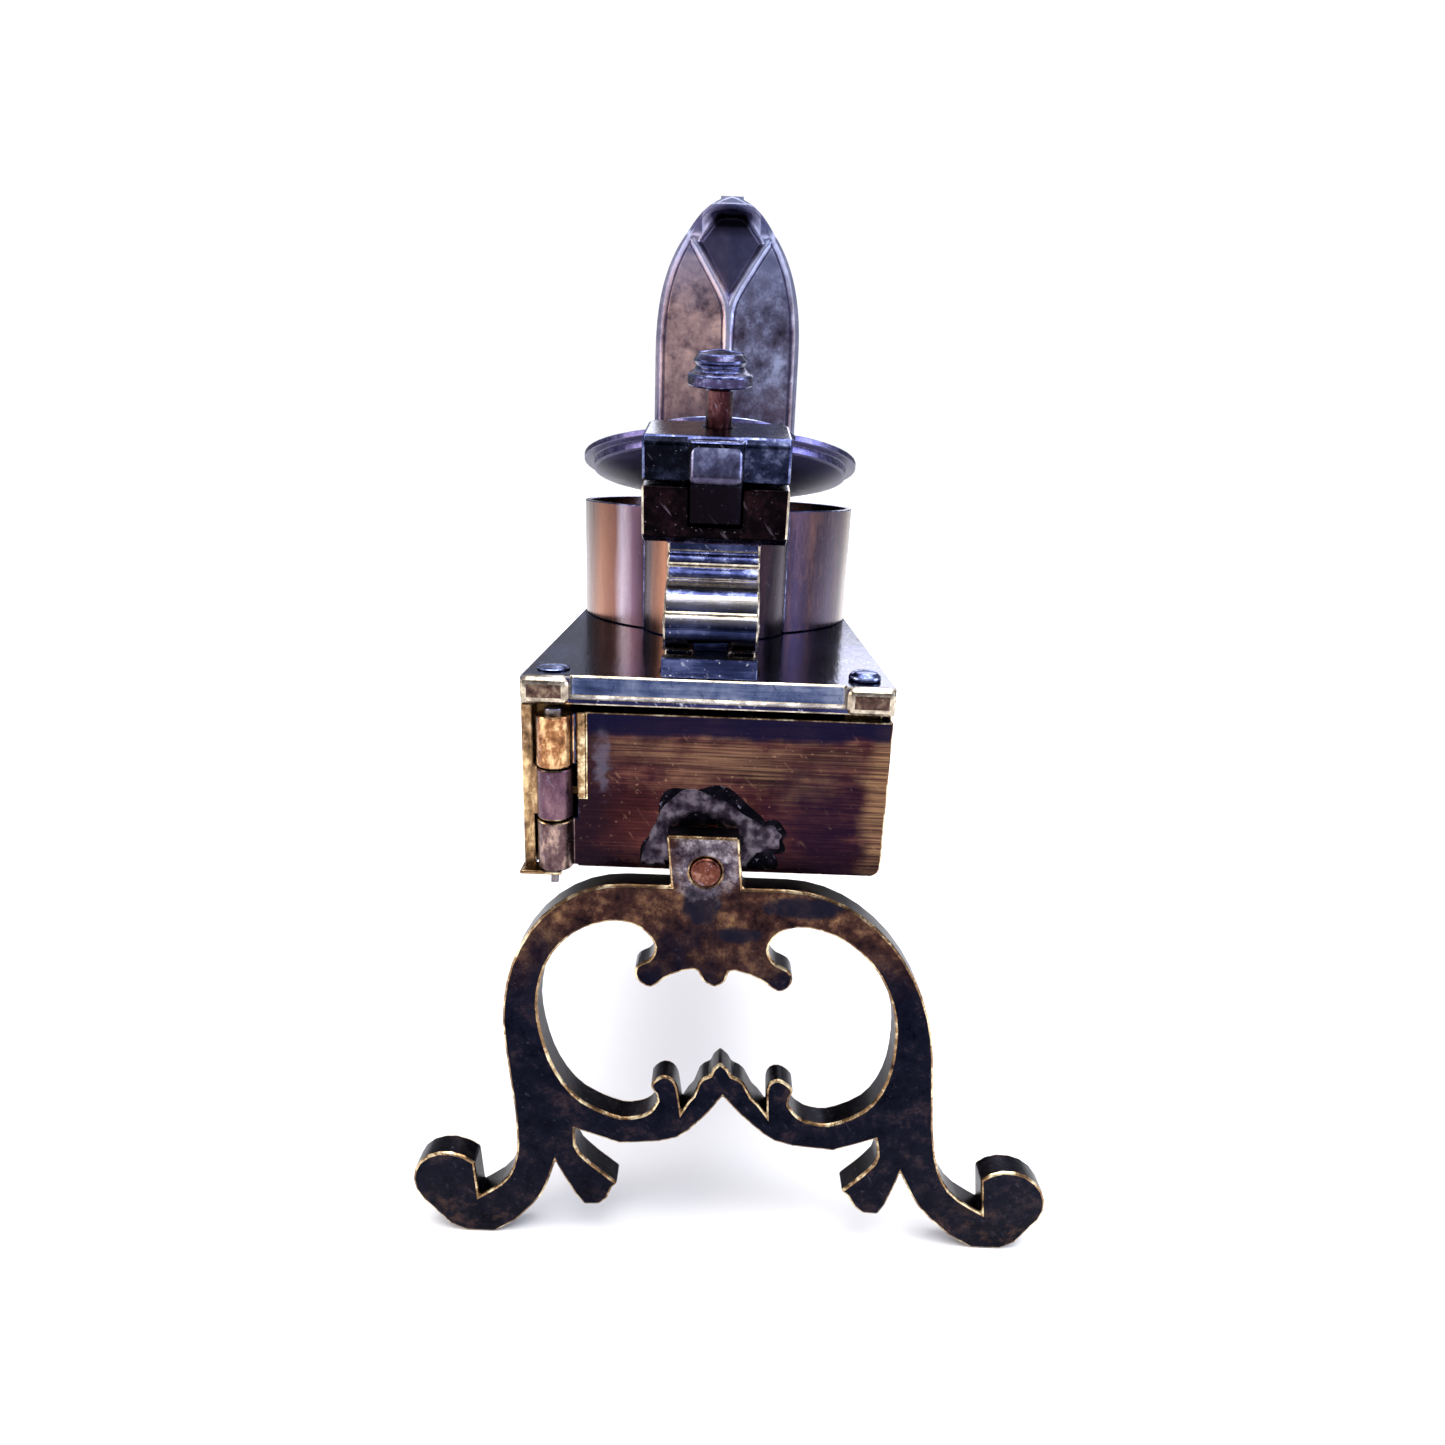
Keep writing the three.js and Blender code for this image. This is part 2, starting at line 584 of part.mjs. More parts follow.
// ---- hinge bracket on the drum's back ----
const bracketHalf = 6;
const lidKnuckleHalf = 2.8;
const bracketGap = 0.15;
const lidAxis = [lidAxisY, lidAxisZ];
add('lid_hinge_bracket', cut(
  join(
    block(-bracketHalf, bracketHalf, drumY + drumR - 1.5, lidAxisY - 0.1, drumTop - 7.5, lidUnder - 0.9),
    rod('x', -bracketHalf, bracketHalf, ...lidAxis, lidKnuckleR),
    block(-bracketHalf, bracketHalf, lidAxisY - 1.3, lidAxisY - 0.1, lidUnder - 1.5, lidAxisZ),
  ),
  rod('z', drumBase, drumTop + 3, 0, drumY, drumR + seat, 64),
  rod('x', -bracketHalf - 1, bracketHalf + 1, ...lidAxis, lidPinR + slip),
  block(-lidKnuckleHalf - bracketGap, lidKnuckleHalf + bracketGap, lidAxisY - 3, lidAxisY + 3,
    lidAxisZ - lidKnuckleR - 0.25, lidAxisZ + 3),
), wornBrass);
add('lid_hinge_pin', rod('x', -bracketHalf - 0.5, bracketHalf + 0.5, ...lidAxis, lidPinR, 20), greySteel);
add('lid_spring', join(
  block(-2.4, 2.4, lidAxisY - 0.05, lidAxisY + 0.45, drumTop - 7.2, lidAxisZ - lidKnuckleR - 0.2),
), blueSteel);

// ---- lid with its striking steel, in a group that turns on the hinge ----
const lid = new THREE.Group();
lid.position.set(0, ...lidAxis);
lid.rotation.x = THREE.MathUtils.degToRad(-lidRest);
model.add(lid);

function onLid(body) {
  return shift(body, 0, -lidAxisY, -lidAxisZ);
}

const lidTop = lidUnder + lidThick;
const rivetR = 0.8;
const steelX = 0.5;
const rivetX = [-5.5, 5.5].map((x) => steelX + x);
const rivetY = steelY + steelThick + 2.0;
const plugR = innerR - 0.35;
add('drum_lid', onLid(cut(
  join(
    rod('z', lidUnder, lidTop, 0, drumY, lidR, 64),
    rod('z', lidUnder, lidTop, 0, troughY, troughR + lidOverhang, 40),
    cut(rod('z', lidUnder - 1.1, lidUnder + 0.1, 0, drumY, plugR, 64),
      rod('z', lidUnder - 2, lidUnder, 0, drumY, plugR - 0.7, 64)),
    block(-lidKnuckleHalf, lidKnuckleHalf, drumY + drumR - 2, lidAxisY, lidUnder, lidTop),
    rod('x', -lidKnuckleHalf, lidKnuckleHalf, ...lidAxis, lidKnuckleR),
  ),
  rod('x', -lidKnuckleHalf - 1, lidKnuckleHalf + 1, ...lidAxis, lidPinR + slip),
  ...rivetX.map((x) => rod('z', lidUnder - 3, lidTop + 1, x, rivetY, rivetR + slip, 16)),
)), darkBrass, lid);

// Front outline of the steel: straight sides, then a pointed top.
const sideTo = steelHeight * 0.46;
const steelFront = shapeOf(mirrored([
  [0, 0], [steelHalf, 0],
  ...smooth([[steelHalf, sideTo], [steelHalf * 0.96, sideTo + 2.9], [steelHalf * 0.85, sideTo + 5.4],
    [steelHalf * 0.65, sideTo + 8.4], [steelHalf * 0.37, steelHeight - 2.6]], 12),
  [steelHalf * 0.34, steelHeight - 1.4],
  [0, steelHeight],
]));
const steelSide = shapeOf([
  [0, 0], [steelThick, 0],
  ...smooth([[steelThick, 0.5], [steelThick - 0.3, steelHeight * 0.6], [steelThick - 0.1, steelHeight * 0.8],
    [steelThick - 1.6, steelHeight - 0.4], [-1.6, steelHeight]], 10),
  ...smooth([[-2.6, steelHeight - 1.0], [-1.2, steelHeight - 1.8],
    [-0.1, steelHeight * 0.84], [0, steelHeight * 0.6]], 8),
]);
const leaf = across(steelSide, -steelHalf - 1, steelHalf + 1)
  .intersect(back(steelFront, -6, 6))
  .rotate([lidRest, 0, 0]);
const steelFoot = block(-steelHalf + 0.6, steelHalf - 0.6, 0.3, steelThick + 4, 0.1, 1.1);
add('striking_steel', onLid(cut(
  join(leaf, steelFoot)
    .intersect(block(-20, 20, -20, 20, 0.05, 60))
    .translate([steelX, steelY, lidTop]),
  ...rivetX.map((x) => rod('z', lidTop - 1, lidTop + 3, x, rivetY, rivetR + slip, 16)),
)), blueSteel, lid);
addEach('steel_rivet', rivetX.map((x) => onLid(join(
  rod('z', lidUnder - 0.35, lidTop + 1.6, x, rivetY, rivetR, 16),
  shift(turned([[0, 0], [1.3, 0], [1.1, 0.35], [0.6, 0.6], [0, 0.65]], 16), x, rivetY, lidTop + 1.4),
))), greySteel, lid);

// ---- pistol butt with its strap, cap and screws ----
const buttRoot = caseLength + seat;
const neckUpper = plateUnder - 1.5;
const neckLower = caseBottom + 1.5;
const buttTopLine = [
  [buttRoot, neckUpper], [buttRoot + 16, neckUpper - 0.5], [buttRoot + 34, neckUpper - 7],
  [buttRoot + 50, neckUpper - 26], [buttRoot + buttReach - 4.5, capFrom + 8],
  [buttRoot + buttReach - 1, capFrom],
];
const buttUnderLine = [
  [buttRoot, neckLower], [buttRoot + 9, neckLower - 2], [buttRoot + 22, neckLower - 11],
  [buttRoot + buttReach - 28, capFrom + 12], [buttRoot + buttReach - 24, capFrom],
];

// A closed skin over rings that all have the same number of points.
function loft(rings) {
  const sides = rings[0].length;
  const points = rings.flat();
  const faces = [];
  const ends = [rings[0], rings[rings.length - 1]].map((ring) => {
    const centre = [0, 1, 2].map((axis) => ring.reduce((sum, point) => sum + point[axis], 0) / sides);
    return points.push(centre) - 1;
  });
  for (let row = 0; row < rings.length - 1; row += 1) {
    for (let side = 0; side < sides; side += 1) {
      const a = row * sides + side;
      const b = row * sides + (side + 1) % sides;
      faces.push(a, b, b + sides, a, b + sides, a + sides);
    }
  }
  const last = (rings.length - 1) * sides;
  for (let side = 0; side < sides; side += 1) {
    const next = (side + 1) % sides;
    faces.push(ends[0], next, side, ends[1], last + side, last + next);
  }
  const geometry = new THREE.BufferGeometry();
  geometry.setAttribute('position', new THREE.BufferAttribute(new Float32Array(points.flat()), 3));
  geometry.setIndex(faces);
  return solid(geometry);
}

// Rounded section across the butt between a point on its top line and one on its under line.
function buttRing([topY, topZ], [underY, underZ], half, sides = 28) {
  return Array.from({ length: sides }, (_, step) => {
    const angle = 2 * Math.PI * step / sides;
    const square = (value) => Math.sign(value) * Math.abs(value) ** 0.8;
    const along = (1 - square(Math.cos(angle))) / 2;
    return [half * square(Math.sin(angle)), topY + (underY - topY) * along, topZ + (underZ - topZ) * along];
  });
}

const buttTop = smooth(buttTopLine, 16);
const buttUnder = smooth(buttUnderLine, 16);
const buttWidths = buttTop.map((_, index) => buttHalf * (0.84 + 0.16 * (index / 16)));
const buttSkin = loft(buttTop.map((point, index) => buttRing(point, buttUnder[index], buttWidths[index])));
const strapHalf = 3.5;
const strapThick = 1.6;
const strapHeadR = 1.7;
const strapHeadDeep = 0.8;      // underside of a screw's head above the wood
const strapEnd = 40;
const strapLine = buttTop.filter(([y]) => y < buttRoot + strapEnd);
const strapUp = strapLine.map(([y, z]) => [y, z + strapThick]);
const strapBody = across(shapeOf([...strapLine.slice().reverse(), ...strapUp]), -strapHalf, strapHalf);
const strapRoom = across(shapeOf([
  ...strapLine.map(([y, z]) => [y, z - seat]).reverse(), ...strapLine.map(([y, z]) => [y, z + 8]),
]), -30, 30);
const strapScrewY = [buttRoot + 8, buttRoot + 26];
const capScrewY = buttRoot + buttReach - capScrewIn;

function topAt(y) {
  const after = strapLine.findIndex(([lineY]) => lineY > y);
  const [y0, z0] = strapLine[after - 1];
  const [y1, z1] = strapLine[after];
  return z0 + (z1 - z0) * (y - y0) / (y1 - y0);
}

add('butt_wood', cut(
  buttSkin,
  strapRoom,
  ...strapScrewY.map((y) => rod('z', topAt(y) - 7, topAt(y) + 3, 0, y, screwR + slip)),
  ...tangScrewZ.map((z) => rod('y', caseLength - 3, caseLength + 8, 0, z, screwR + slip)),
  rod('z', 0, capFrom + 9, 0, capScrewY, screwR + slip),
), walnut);
add('butt_strap', cut(
  strapBody,
  ...strapScrewY.map((y) => rod('z', topAt(y) - 7, topAt(y) + 3, 0, y, screwR + slip)),
  ...strapScrewY.map((y) => rod('z', topAt(y) + strapHeadDeep, topAt(y) + 5, 0, y, strapHeadR + slip)),
), darkBrass);
addEach('strap_screw', strapScrewY.map((y) => join(
  rod('z', topAt(y) - 6, topAt(y) + strapThick, 0, y, screwR, 16),
  rod('z', topAt(y) + strapHeadDeep + seat, topAt(y) + strapThick + 0.4, 0, y, strapHeadR, 20),
)), blueSteel);

// ---- butt cap: cast brass, flat where it stands on the table ----
const capTopEdge = buttTopLine[buttTopLine.length - 1];
const capUnderEdge = buttUnderLine[buttUnderLine.length - 1];
const capBody = loft([
  [capTopEdge, capUnderEdge, 1.0, -seat], [capTopEdge, capUnderEdge, 1.06, -1.6],
  [capTopEdge, capUnderEdge, 1.0, -capFrom * 0.55], [capTopEdge, capUnderEdge, 0.84, -capFrom * 0.85],
  [capTopEdge, capUnderEdge, 0.66, -capFrom],
].map(([[topY, z], [underY], share, drop]) => {
  const centre = (topY + underY) / 2;
  const half = (topY - underY) / 2 * share;
  return buttRing([centre + half, z + drop], [centre - half, z + drop], buttHalf * share);
}));
add('butt_cap', cut(
  capBody,
  rod('z', -1, capFrom + 1, 0, capScrewY, screwR + slip),
  rod('z', -1, 2.0, 0, capScrewY, 2.0),
), wornBrass);
add('cap_screw', join(
  rod('z', 0.8, 1.9, 0, capScrewY, 1.8, 20),
  rod('z', 1.5, capFrom + 7, 0, capScrewY, screwR, 16),
), greySteel);
addEach('tang_screw', tangScrewZ.map((z) => join(
  rod('y', caseLength - sheet - 1.0, caseLength - sheet - seat, 0, z, 1.7, 18),
  rod('y', caseLength - sheet - 0.6, caseLength + 7, 0, z, screwR, 16),
)), greySteel);

// ---- trigger guard: a bent strip under the box ----
const guardThick = 1.4;
const guardHalf = 3.2;
const guardDrop = 17;
const guardFlat = caseBottom - seat;
const guardPath = [
  [guardFront - 3, guardFlat],
  ...smooth([
    [guardFront + 2.5, guardFlat], [guardFront + 4.2, guardFlat - 4], [guardFront + 5.5, guardFlat - 11],
    [boltY + 1, guardFlat - guardDrop], [guardBack - 6.5, guardFlat - guardDrop + 4],
    [guardBack - 4.6, guardFlat - 5], [guardBack - 3.4, guardFlat],
  ], 34),
  [guardBack + 3, guardFlat],
];
function offsetPath(points, distance) {
  return points.map(([y, z], index) => {
    const [y0, z0] = points[Math.max(index - 1, 0)];
    const [y1, z1] = points[Math.min(index + 1, points.length - 1)];
    const length = Math.hypot(y1 - y0, z1 - z0);
    return [y + distance * (z1 - z0) / length, z - distance * (y1 - y0) / length];
  });
}
const guardShape = shapeOf([...offsetPath(guardPath, guardThick), ...guardPath.slice().reverse()]);
add('trigger_guard', cut(
  across(guardShape, -guardHalf, guardHalf).intersect(block(-10, 10, 0, 90, 0, guardFlat)),
  ...[guardFront, guardBack].map((y) => rod('z', caseBottom - 4, caseBottom + 2, 0, y, screwR + slip)),
), wornBrass);
addEach('guard_screw', [guardFront, guardBack].map((y) => join(
  rod('z', caseBottom - guardThick - 1.1, caseBottom - guardThick - 4 * seat, 0, y, 1.6, 18),
  rod('z', caseBottom - 2, caseBottom + 3, 0, y, screwR, 16),
)), greySteel);

// ---- the model's origin is the middle of its footprint, on the table ----
model.updateMatrixWorld(true);
const reach = new THREE.Box3().setFromObject(model, true);
const middle = reach.getCenter(new THREE.Vector3());
const part = new THREE.Group();
part.add(model);
model.position.set(-middle.x, -middle.y, -reach.min.z);

export default part;
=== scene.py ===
# Flintlock tinder lighter: a small brass box on a cast scroll foot, with a hinged end door, a jawed
# cock over its top plate, a round tinder drum under a lid that carries the striking steel, and a
# walnut pistol butt. The sections follow the order in which it is put together.
import math

import bpy
from mathutils import Matrix, Vector, noise


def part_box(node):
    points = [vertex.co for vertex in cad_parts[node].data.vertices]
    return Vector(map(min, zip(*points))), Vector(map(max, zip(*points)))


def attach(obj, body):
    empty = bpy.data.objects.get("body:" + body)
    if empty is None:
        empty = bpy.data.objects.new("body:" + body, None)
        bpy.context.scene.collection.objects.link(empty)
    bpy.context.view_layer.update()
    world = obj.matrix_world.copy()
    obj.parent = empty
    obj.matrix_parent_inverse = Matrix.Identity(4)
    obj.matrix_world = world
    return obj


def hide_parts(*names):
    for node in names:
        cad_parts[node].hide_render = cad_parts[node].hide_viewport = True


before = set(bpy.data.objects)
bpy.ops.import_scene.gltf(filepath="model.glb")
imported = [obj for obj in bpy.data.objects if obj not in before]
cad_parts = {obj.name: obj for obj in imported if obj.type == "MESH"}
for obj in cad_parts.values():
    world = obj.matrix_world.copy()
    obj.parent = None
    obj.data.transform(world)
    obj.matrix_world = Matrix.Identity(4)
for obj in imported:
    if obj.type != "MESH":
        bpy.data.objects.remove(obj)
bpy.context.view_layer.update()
MM = 0.001

# ---- Table and light: a white table in a white room, a broad soft light overhead and two at the sides ----
# The room is bright overhead and dim at eye level, so flat dark metal stays dark and its upper edges shine.


def linear(code):
    """A CSS colour such as "8a5a2c" as linear red, green, blue and alpha."""
    parts = [int(code[at:at + 2], 16) / 255 for at in (0, 2, 4)]
    return [part / 12.92 if part <= 0.04045 else ((part + 0.055) / 1.055) ** 2.4 for part in parts] + [1.0]


def put(tree, kind, settings=None, inputs=None, stops=None):
    """Adds a node with its settings, its input values or links, and its colour stops."""
    node = tree.nodes.new(kind)
    for key, value in (settings or {}).items():
        setattr(node, key, value)
    for key, value in (inputs or {}).items():
        if isinstance(value, bpy.types.NodeSocket):
            tree.links.new(value, node.inputs[key])
        else:
            node.inputs[key].default_value = value
    if stops:
        ramp = node.color_ramp.elements
        while len(ramp) < len(stops):
            ramp.new(1.0)
        for element, (place, code) in zip(ramp, stops):
            element.position = place
            element.color = linear(code)
    return node


def new_material(name):
    material = bpy.data.materials.new(name)
    material.use_nodes = True
    tree = material.node_tree
    return material, tree, tree.nodes["Principled BSDF"]


room = bpy.data.worlds.new("white_room")
bpy.context.scene.world = room
room.use_nodes = True
sky = room.node_tree
ray = put(sky, "ShaderNodeTexCoord")
height = put(sky, "ShaderNodeSeparateXYZ", inputs={0: ray.outputs["Generated"]})
walls = put(sky, "ShaderNodeValToRGB", inputs={0: height.outputs["Z"]},
            stops=[(0.0, "8c8c96"), (0.12, "6e7080"), (0.42, "c8cce0"), (0.75, "ffffff")])
seen = put(sky, "ShaderNodeLightPath")
backdrop = put(sky, "ShaderNodeMix", {"data_type": "RGBA"},
               {0: seen.outputs["Is Camera Ray"], 6: walls.outputs[0], 7: linear("ffffff")})
sky.links.new(backdrop.outputs[2], sky.nodes["Background"].inputs["Color"])
sky.nodes["Background"].inputs["Strength"].default_value = 1.05

bpy.ops.mesh.primitive_plane_add(size=6, location=(0, 0, 0))
table = bpy.context.object
table.name = "table"
# Matt white paper: it takes a soft shadow by the object and glows a little far off, so it meets the
# room unseen.
paper, tree, shader = new_material("white_paper")
shader.inputs["Base Color"].default_value = linear("dedee0")
shader.inputs["Roughness"].default_value = 0.9
shader.inputs["Specular IOR Level"].default_value = 0.1
away = put(tree, "ShaderNodeVectorMath", {"operation": "LENGTH"},
           {0: put(tree, "ShaderNodeTexCoord").outputs["Object"]})
glow = put(tree, "ShaderNodeMapRange", {"interpolation_type": "SMOOTHSTEP"},
           {0: away.outputs["Value"], 1: 0.07, 2: 0.45, 3: 0.0, 4: 0.75})
shader.inputs["Emission Color"].default_value = linear("ffffff")
tree.links.new(glow.outputs[0], shader.inputs["Emission Strength"])
table.data.materials.append(paper)

for name, place, aim, size, power, tone in [
    ("overhead", (0.05, -0.10, 0.75), (0, 0, 0.06), 0.7, 11.0, "ffffff"),
    ("left_side", (-0.62, -0.22, 0.30), (0, 0, 0.07), 0.35, 2.4, "fff1de"),
    ("right_side", (0.62, -0.18, 0.26), (0, 0, 0.07), 0.30, 2.0, "dfe6ff"),
    ("behind", (0.1, 0.7, 0.45), (0, 0, 0.06), 0.5, 3.0, "eef0ff"),
]:
    lamp = bpy.data.lights.new(name, "AREA")
    lamp.size = size
    lamp.energy = power
    lamp.color = linear(tone)[:3]
    holder = bpy.data.objects.new(name, lamp)
    bpy.context.scene.collection.objects.link(holder)
    holder.location = place
    holder.rotation_euler = (Vector(aim) - Vector(place)).to_track_quat("-Z", "Y").to_euler()

# ---- Camera: close in front of the door, a little above the box, tipped down and a touch out of level ----
# Its place is in mm, and its three turns are the sideways one, the tip down and the roll.
view = bpy.data.cameras.new("view")
view.sensor_width = 36
view.lens = 21.97
view.clip_start = 0.01
camera = bpy.data.objects.new("view", view)
bpy.context.scene.collection.objects.link(camera)
camera.matrix_world = (
    Matrix.Translation(Vector((-3.28, -148.31, 88.17)) * MM)
    @ Matrix.Rotation(math.radians(-0.24), 4, "Z")
    @ Matrix.Rotation(math.radians(90 - 16.34), 4, "X")
    @ Matrix.Rotation(math.radians(2.2), 4, "Z")
)
bpy.context.scene.camera = camera
bpy.context.scene.view_settings.view_transform = "Standard"

# ---- Box: brass sheet folded to a tray, with the middle knuckle of the door's hinge on its left wall ----
# Old brass that has gone brown-black and violet with age, rubbed back to gold wherever hands and cloths
# reach, which is along every edge. The sheet is about 1.2 mm thick.


def aged_metal(name, deep, body, worn, patch=6.0, flow=(1, 1, 1), grain=(1, 1, 1), brushing=0.3,
               spread=0.17, turn=0.5, rough=(0.2, 0.4), marks=0.25, marked="8f8aa0", seed=0.0):
    """Metal under old patina: patches from deep to worn, fine brushing, scratches and pin-pricks.
    Patch is the size of a patch in mm. Flow and grain say how much finer patches and brushing are on
    each axis, turn and spread where and how fast the colours change, and marks how strong scratches are."""
    material, tree, shader = new_material(name)
    place = put(tree, "ShaderNodeTexCoord").outputs["Object"]
    moved = put(tree, "ShaderNodeMapping", inputs={0: place, 1: (seed, seed * 0.7, seed * 0.3)}).outputs[0]
    flowing = put(tree, "ShaderNodeMapping", inputs={0: moved, 3: flow})
    patches = put(tree, "ShaderNodeTexNoise", inputs={
        "Vector": flowing.outputs[0], "Scale": 1 / (patch * MM), "Detail": 7, "Roughness": 0.66,
        "Distortion": 0.3})
    # Brushing lines about 0.1 mm apart are drawn 0.25 mm apart, as finer ones would be lost.
    along = put(tree, "ShaderNodeMapping", inputs={0: moved, 3: grain})
    brushed = put(tree, "ShaderNodeTexNoise", inputs={
        "Vector": along.outputs[0], "Scale": 1 / (0.8 * MM), "Detail": 3, "Roughness": 0.7})
    blend = put(tree, "ShaderNodeMix", inputs={0: brushing, 2: patches.outputs[0], 3: brushed.outputs[0]})
    colour = put(tree, "ShaderNodeValToRGB", inputs={0: blend.outputs[0]},
                 stops=[(turn - spread, deep), (turn, body), (turn + spread, worn)])
    # Scratches about 0.05 mm wide are drawn 0.12 mm wide, as finer ones would be lost.
    tilted = put(tree, "ShaderNodeMapping", {"vector_type": "TEXTURE"},
                 {0: moved, 2: (0.5, 0.9, 0.4), 3: (8, 1, 1)})
    scratches = put(tree, "ShaderNodeTexNoise", inputs={
        "Vector": tilted.outputs[0], "Scale": 1 / (0.5 * MM), "Detail": 2, "Roughness": 0.5})
    lines = put(tree, "ShaderNodeMapRange", inputs={
        0: scratches.outputs[0], 1: 0.66, 2: 0.76, 3: 0.0, 4: marks})
    pricks = put(tree, "ShaderNodeTexNoise", inputs={"Vector": moved, "Scale": 1 / (0.4 * MM), "Detail": 1})
    points = put(tree, "ShaderNodeMapRange", inputs={
        0: pricks.outputs[0], 1: 0.71, 2: 0.78, 3: 0.0, 4: marks * 1.6})
    either = put(tree, "ShaderNodeMath", {"operation": "MAXIMUM"},
                 {0: lines.outputs[0], 1: points.outputs[0]})
    shown = put(tree, "ShaderNodeMix", {"data_type": "RGBA"},
                {0: either.outputs[0], 6: colour.outputs[0], 7: linear(marked)})
    gloss = put(tree, "ShaderNodeMapRange", inputs={
        0: blend.outputs[0], 1: 0.3, 2: 0.7, 3: rough[0], 4: rough[1]})
    uneven = put(tree, "ShaderNodeMath", {"operation": "ADD"}, {0: patches.outputs[0], 1: brushed.outputs[0]})
    relief = put(tree, "ShaderNodeBump", inputs={
        "Strength": 0.25, "Distance": 0.08 * MM, "Height": uneven.outputs[0]})
    shader.inputs["Metallic"].default_value = 1.0
    tree.links.new(shown.outputs[2], shader.inputs["Base Color"])
    tree.links.new(gloss.outputs[0], shader.inputs["Roughness"])
    tree.links.new(relief.outputs[0], shader.inputs["Normal"])
    return material, tree, shader, shown.outputs[2], place


def only(piece):
    """Selects one object and nothing else."""
    bpy.ops.object.select_all(action="DESELECT")
    piece.select_set(True)
    bpy.context.view_layer.objects.active = piece


def apply(piece, kind, **settings):
    only(piece)
    modifier = piece.modifiers.new(kind.lower(), kind)
    for key, value in settings.items():
        setattr(modifier, key, value)
    bpy.ops.object.modifier_apply(modifier=modifier.name)


def dressed(piece, body, slot, *materials, nodes=()):
    """Gives a finished piece its metals and its body, and hides the nodes it stands for. The slot is not
    used.
    """
    for index, material in enumerate(materials):
        if index < len(piece.data.materials):
            piece.data.materials[index] = material
        else:
            piece.data.materials.append(material)
    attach(piece, body)
    if nodes:
        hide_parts(*nodes)
    return piece


def worked(name, node, metal, edge, body, slot, width=0.25, segments=2, angle=32):
    """The piece in a node's shape, with its corners worn round and its edges rubbed bright."""
    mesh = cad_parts[node].data.copy()
    piece = bpy.data.objects.new(name, mesh)
    bpy.context.scene.collection.objects.link(piece)
    only(piece)
    bpy.ops.mesh.customdata_custom_splitnormals_clear()
    bpy.ops.object.mode_set(mode="EDIT")
    bpy.ops.mesh.select_all(action="SELECT")
    bpy.ops.mesh.remove_doubles(threshold=0.02 * MM)
    bpy.ops.mesh.dissolve_limited(angle_limit=math.radians(2.0))
    bpy.ops.object.mode_set(mode="OBJECT")
    piece.data.materials.clear()
    piece.data.materials.append(metal)
    piece.data.materials.append(edge)
    for face in piece.data.polygons:
        face.material_index = 0
    bpy.ops.object.shade_smooth_by_angle(angle=math.radians(angle))
    apply(piece, "BEVEL", width=width * MM, segments=segments, limit_method="ANGLE",
          angle_limit=math.radians(angle), material=1, use_clamp_overlap=False)
    only(piece)
    bpy.ops.object.shade_smooth_by_angle(angle=math.radians(angle))
    apply(piece, "WEIGHTED_NORMAL", keep_sharp=True, weight=60)
    return dressed(piece, body, slot, metal, edge, nodes=[node])


def finish(piece, metal, test):
    """Puts another finish on the faces whose centre in mm and normal pass the test."""
    piece.data.materials.append(metal)
    for face in piece.data.polygons:
        if test(face.center / MM, face.normal):
            face.material_index = len(piece.data.materials) - 1


box_brass = aged_metal("old_sheet_brass", "0e0a10", "281b20", "453029", patch=11, grain=(0.3, 0.3, 3),
                       marks=0.15)[0]
# Edges rubbed by cloths: pale gold that breaks up into brown where it has not been touched.
rubbed_gold = aged_metal("rubbed_brass_edge", "1f1614", "86694a", "ecdcb4", patch=2.2, brushing=0.2,
                         turn=0.49, spread=0.14, rough=(0.2, 0.34), marks=0.1, marked="fff0d0")[0]
middle_knuckle = aged_metal("violet_knuckle_brass", "2a1c26", "533b47", "7c6066", patch=2.4,
                            flow=(1, 1, 0.5), seed=0.5)[0]
wall_edge = aged_metal("streaked_wall_edge", "1e1614", "7c6044", "d0b486", patch=1.6, flow=(1, 1, 0.35),
                       spread=0.14, rough=(0.2, 0.34), seed=0.7)[0]
tray = worked("box_tray", "case_body", box_brass, rubbed_gold, "case", "dark_brass", 0.17)
finish(tray, middle_knuckle, lambda at, normal: at.y < -60 and at.x < -18 and 52.3 < at.z < 57.5
       and (at.y < -62.3 or abs(normal.y) < 0.95))
finish(tray, wall_edge, lambda at, normal: normal.y < -0.9 and at.x < -22 and -62.3 < at.y < -62.1)

# The tray's floor has a small ear at the hinge corner, under the lowest knuckle, bright from rubbing.
box_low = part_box("case_body")[0]
hinge_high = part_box("door_hinge_pin")[1]
bpy.ops.mesh.primitive_cube_add(size=1)
ear = bpy.context.object
ear.name = "hinge_corner_ear"
ear_wide, ear_deep, ear_thick = 4.4, 2.4, 0.42
ear_middle = Vector(((box_low.x + hinge_high.x) / 2 - 0.2 * MM, box_low.y + 1.6 * MM, box_low.z - 0.1 * MM))
ear.data.transform(Matrix.Translation(ear_middle)
                   @ Matrix.Diagonal((ear_wide * MM, ear_deep * MM, ear_thick * MM, 1)))
apply(ear, "BEVEL", width=0.14 * MM, segments=2)
dressed(ear, "case", "dark_brass", rubbed_gold)

# ---- Lock shelf, corner lugs and fixing screws inside the box: brass and grey steel, never polished ----
# The shelf closes the store behind the door from above, and the plate's screws go into the lugs.
inner_brass = aged_metal("dull_brass", "3a2a1c", "6e5334", "97794c", patch=5, rough=(0.38, 0.55),
                         seed=0.3)[0]
grey_steel = aged_metal("grey_tool_steel", "2c2828", "6b6464", "a09894", patch=3, rough=(0.28, 0.45),
                        seed=0.9)[0]
for node in ["inner_shelf"] + [f"corner_lug_{number}" for number in range(1, 5)]:
    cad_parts[node].material_slots[0].material = inner_brass
for node in ["tang_screw_1", "tang_screw_2", "spring_screw_1", "spring_screw_2", "door_catch"]:
    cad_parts[node].material_slots[0].material = grey_steel

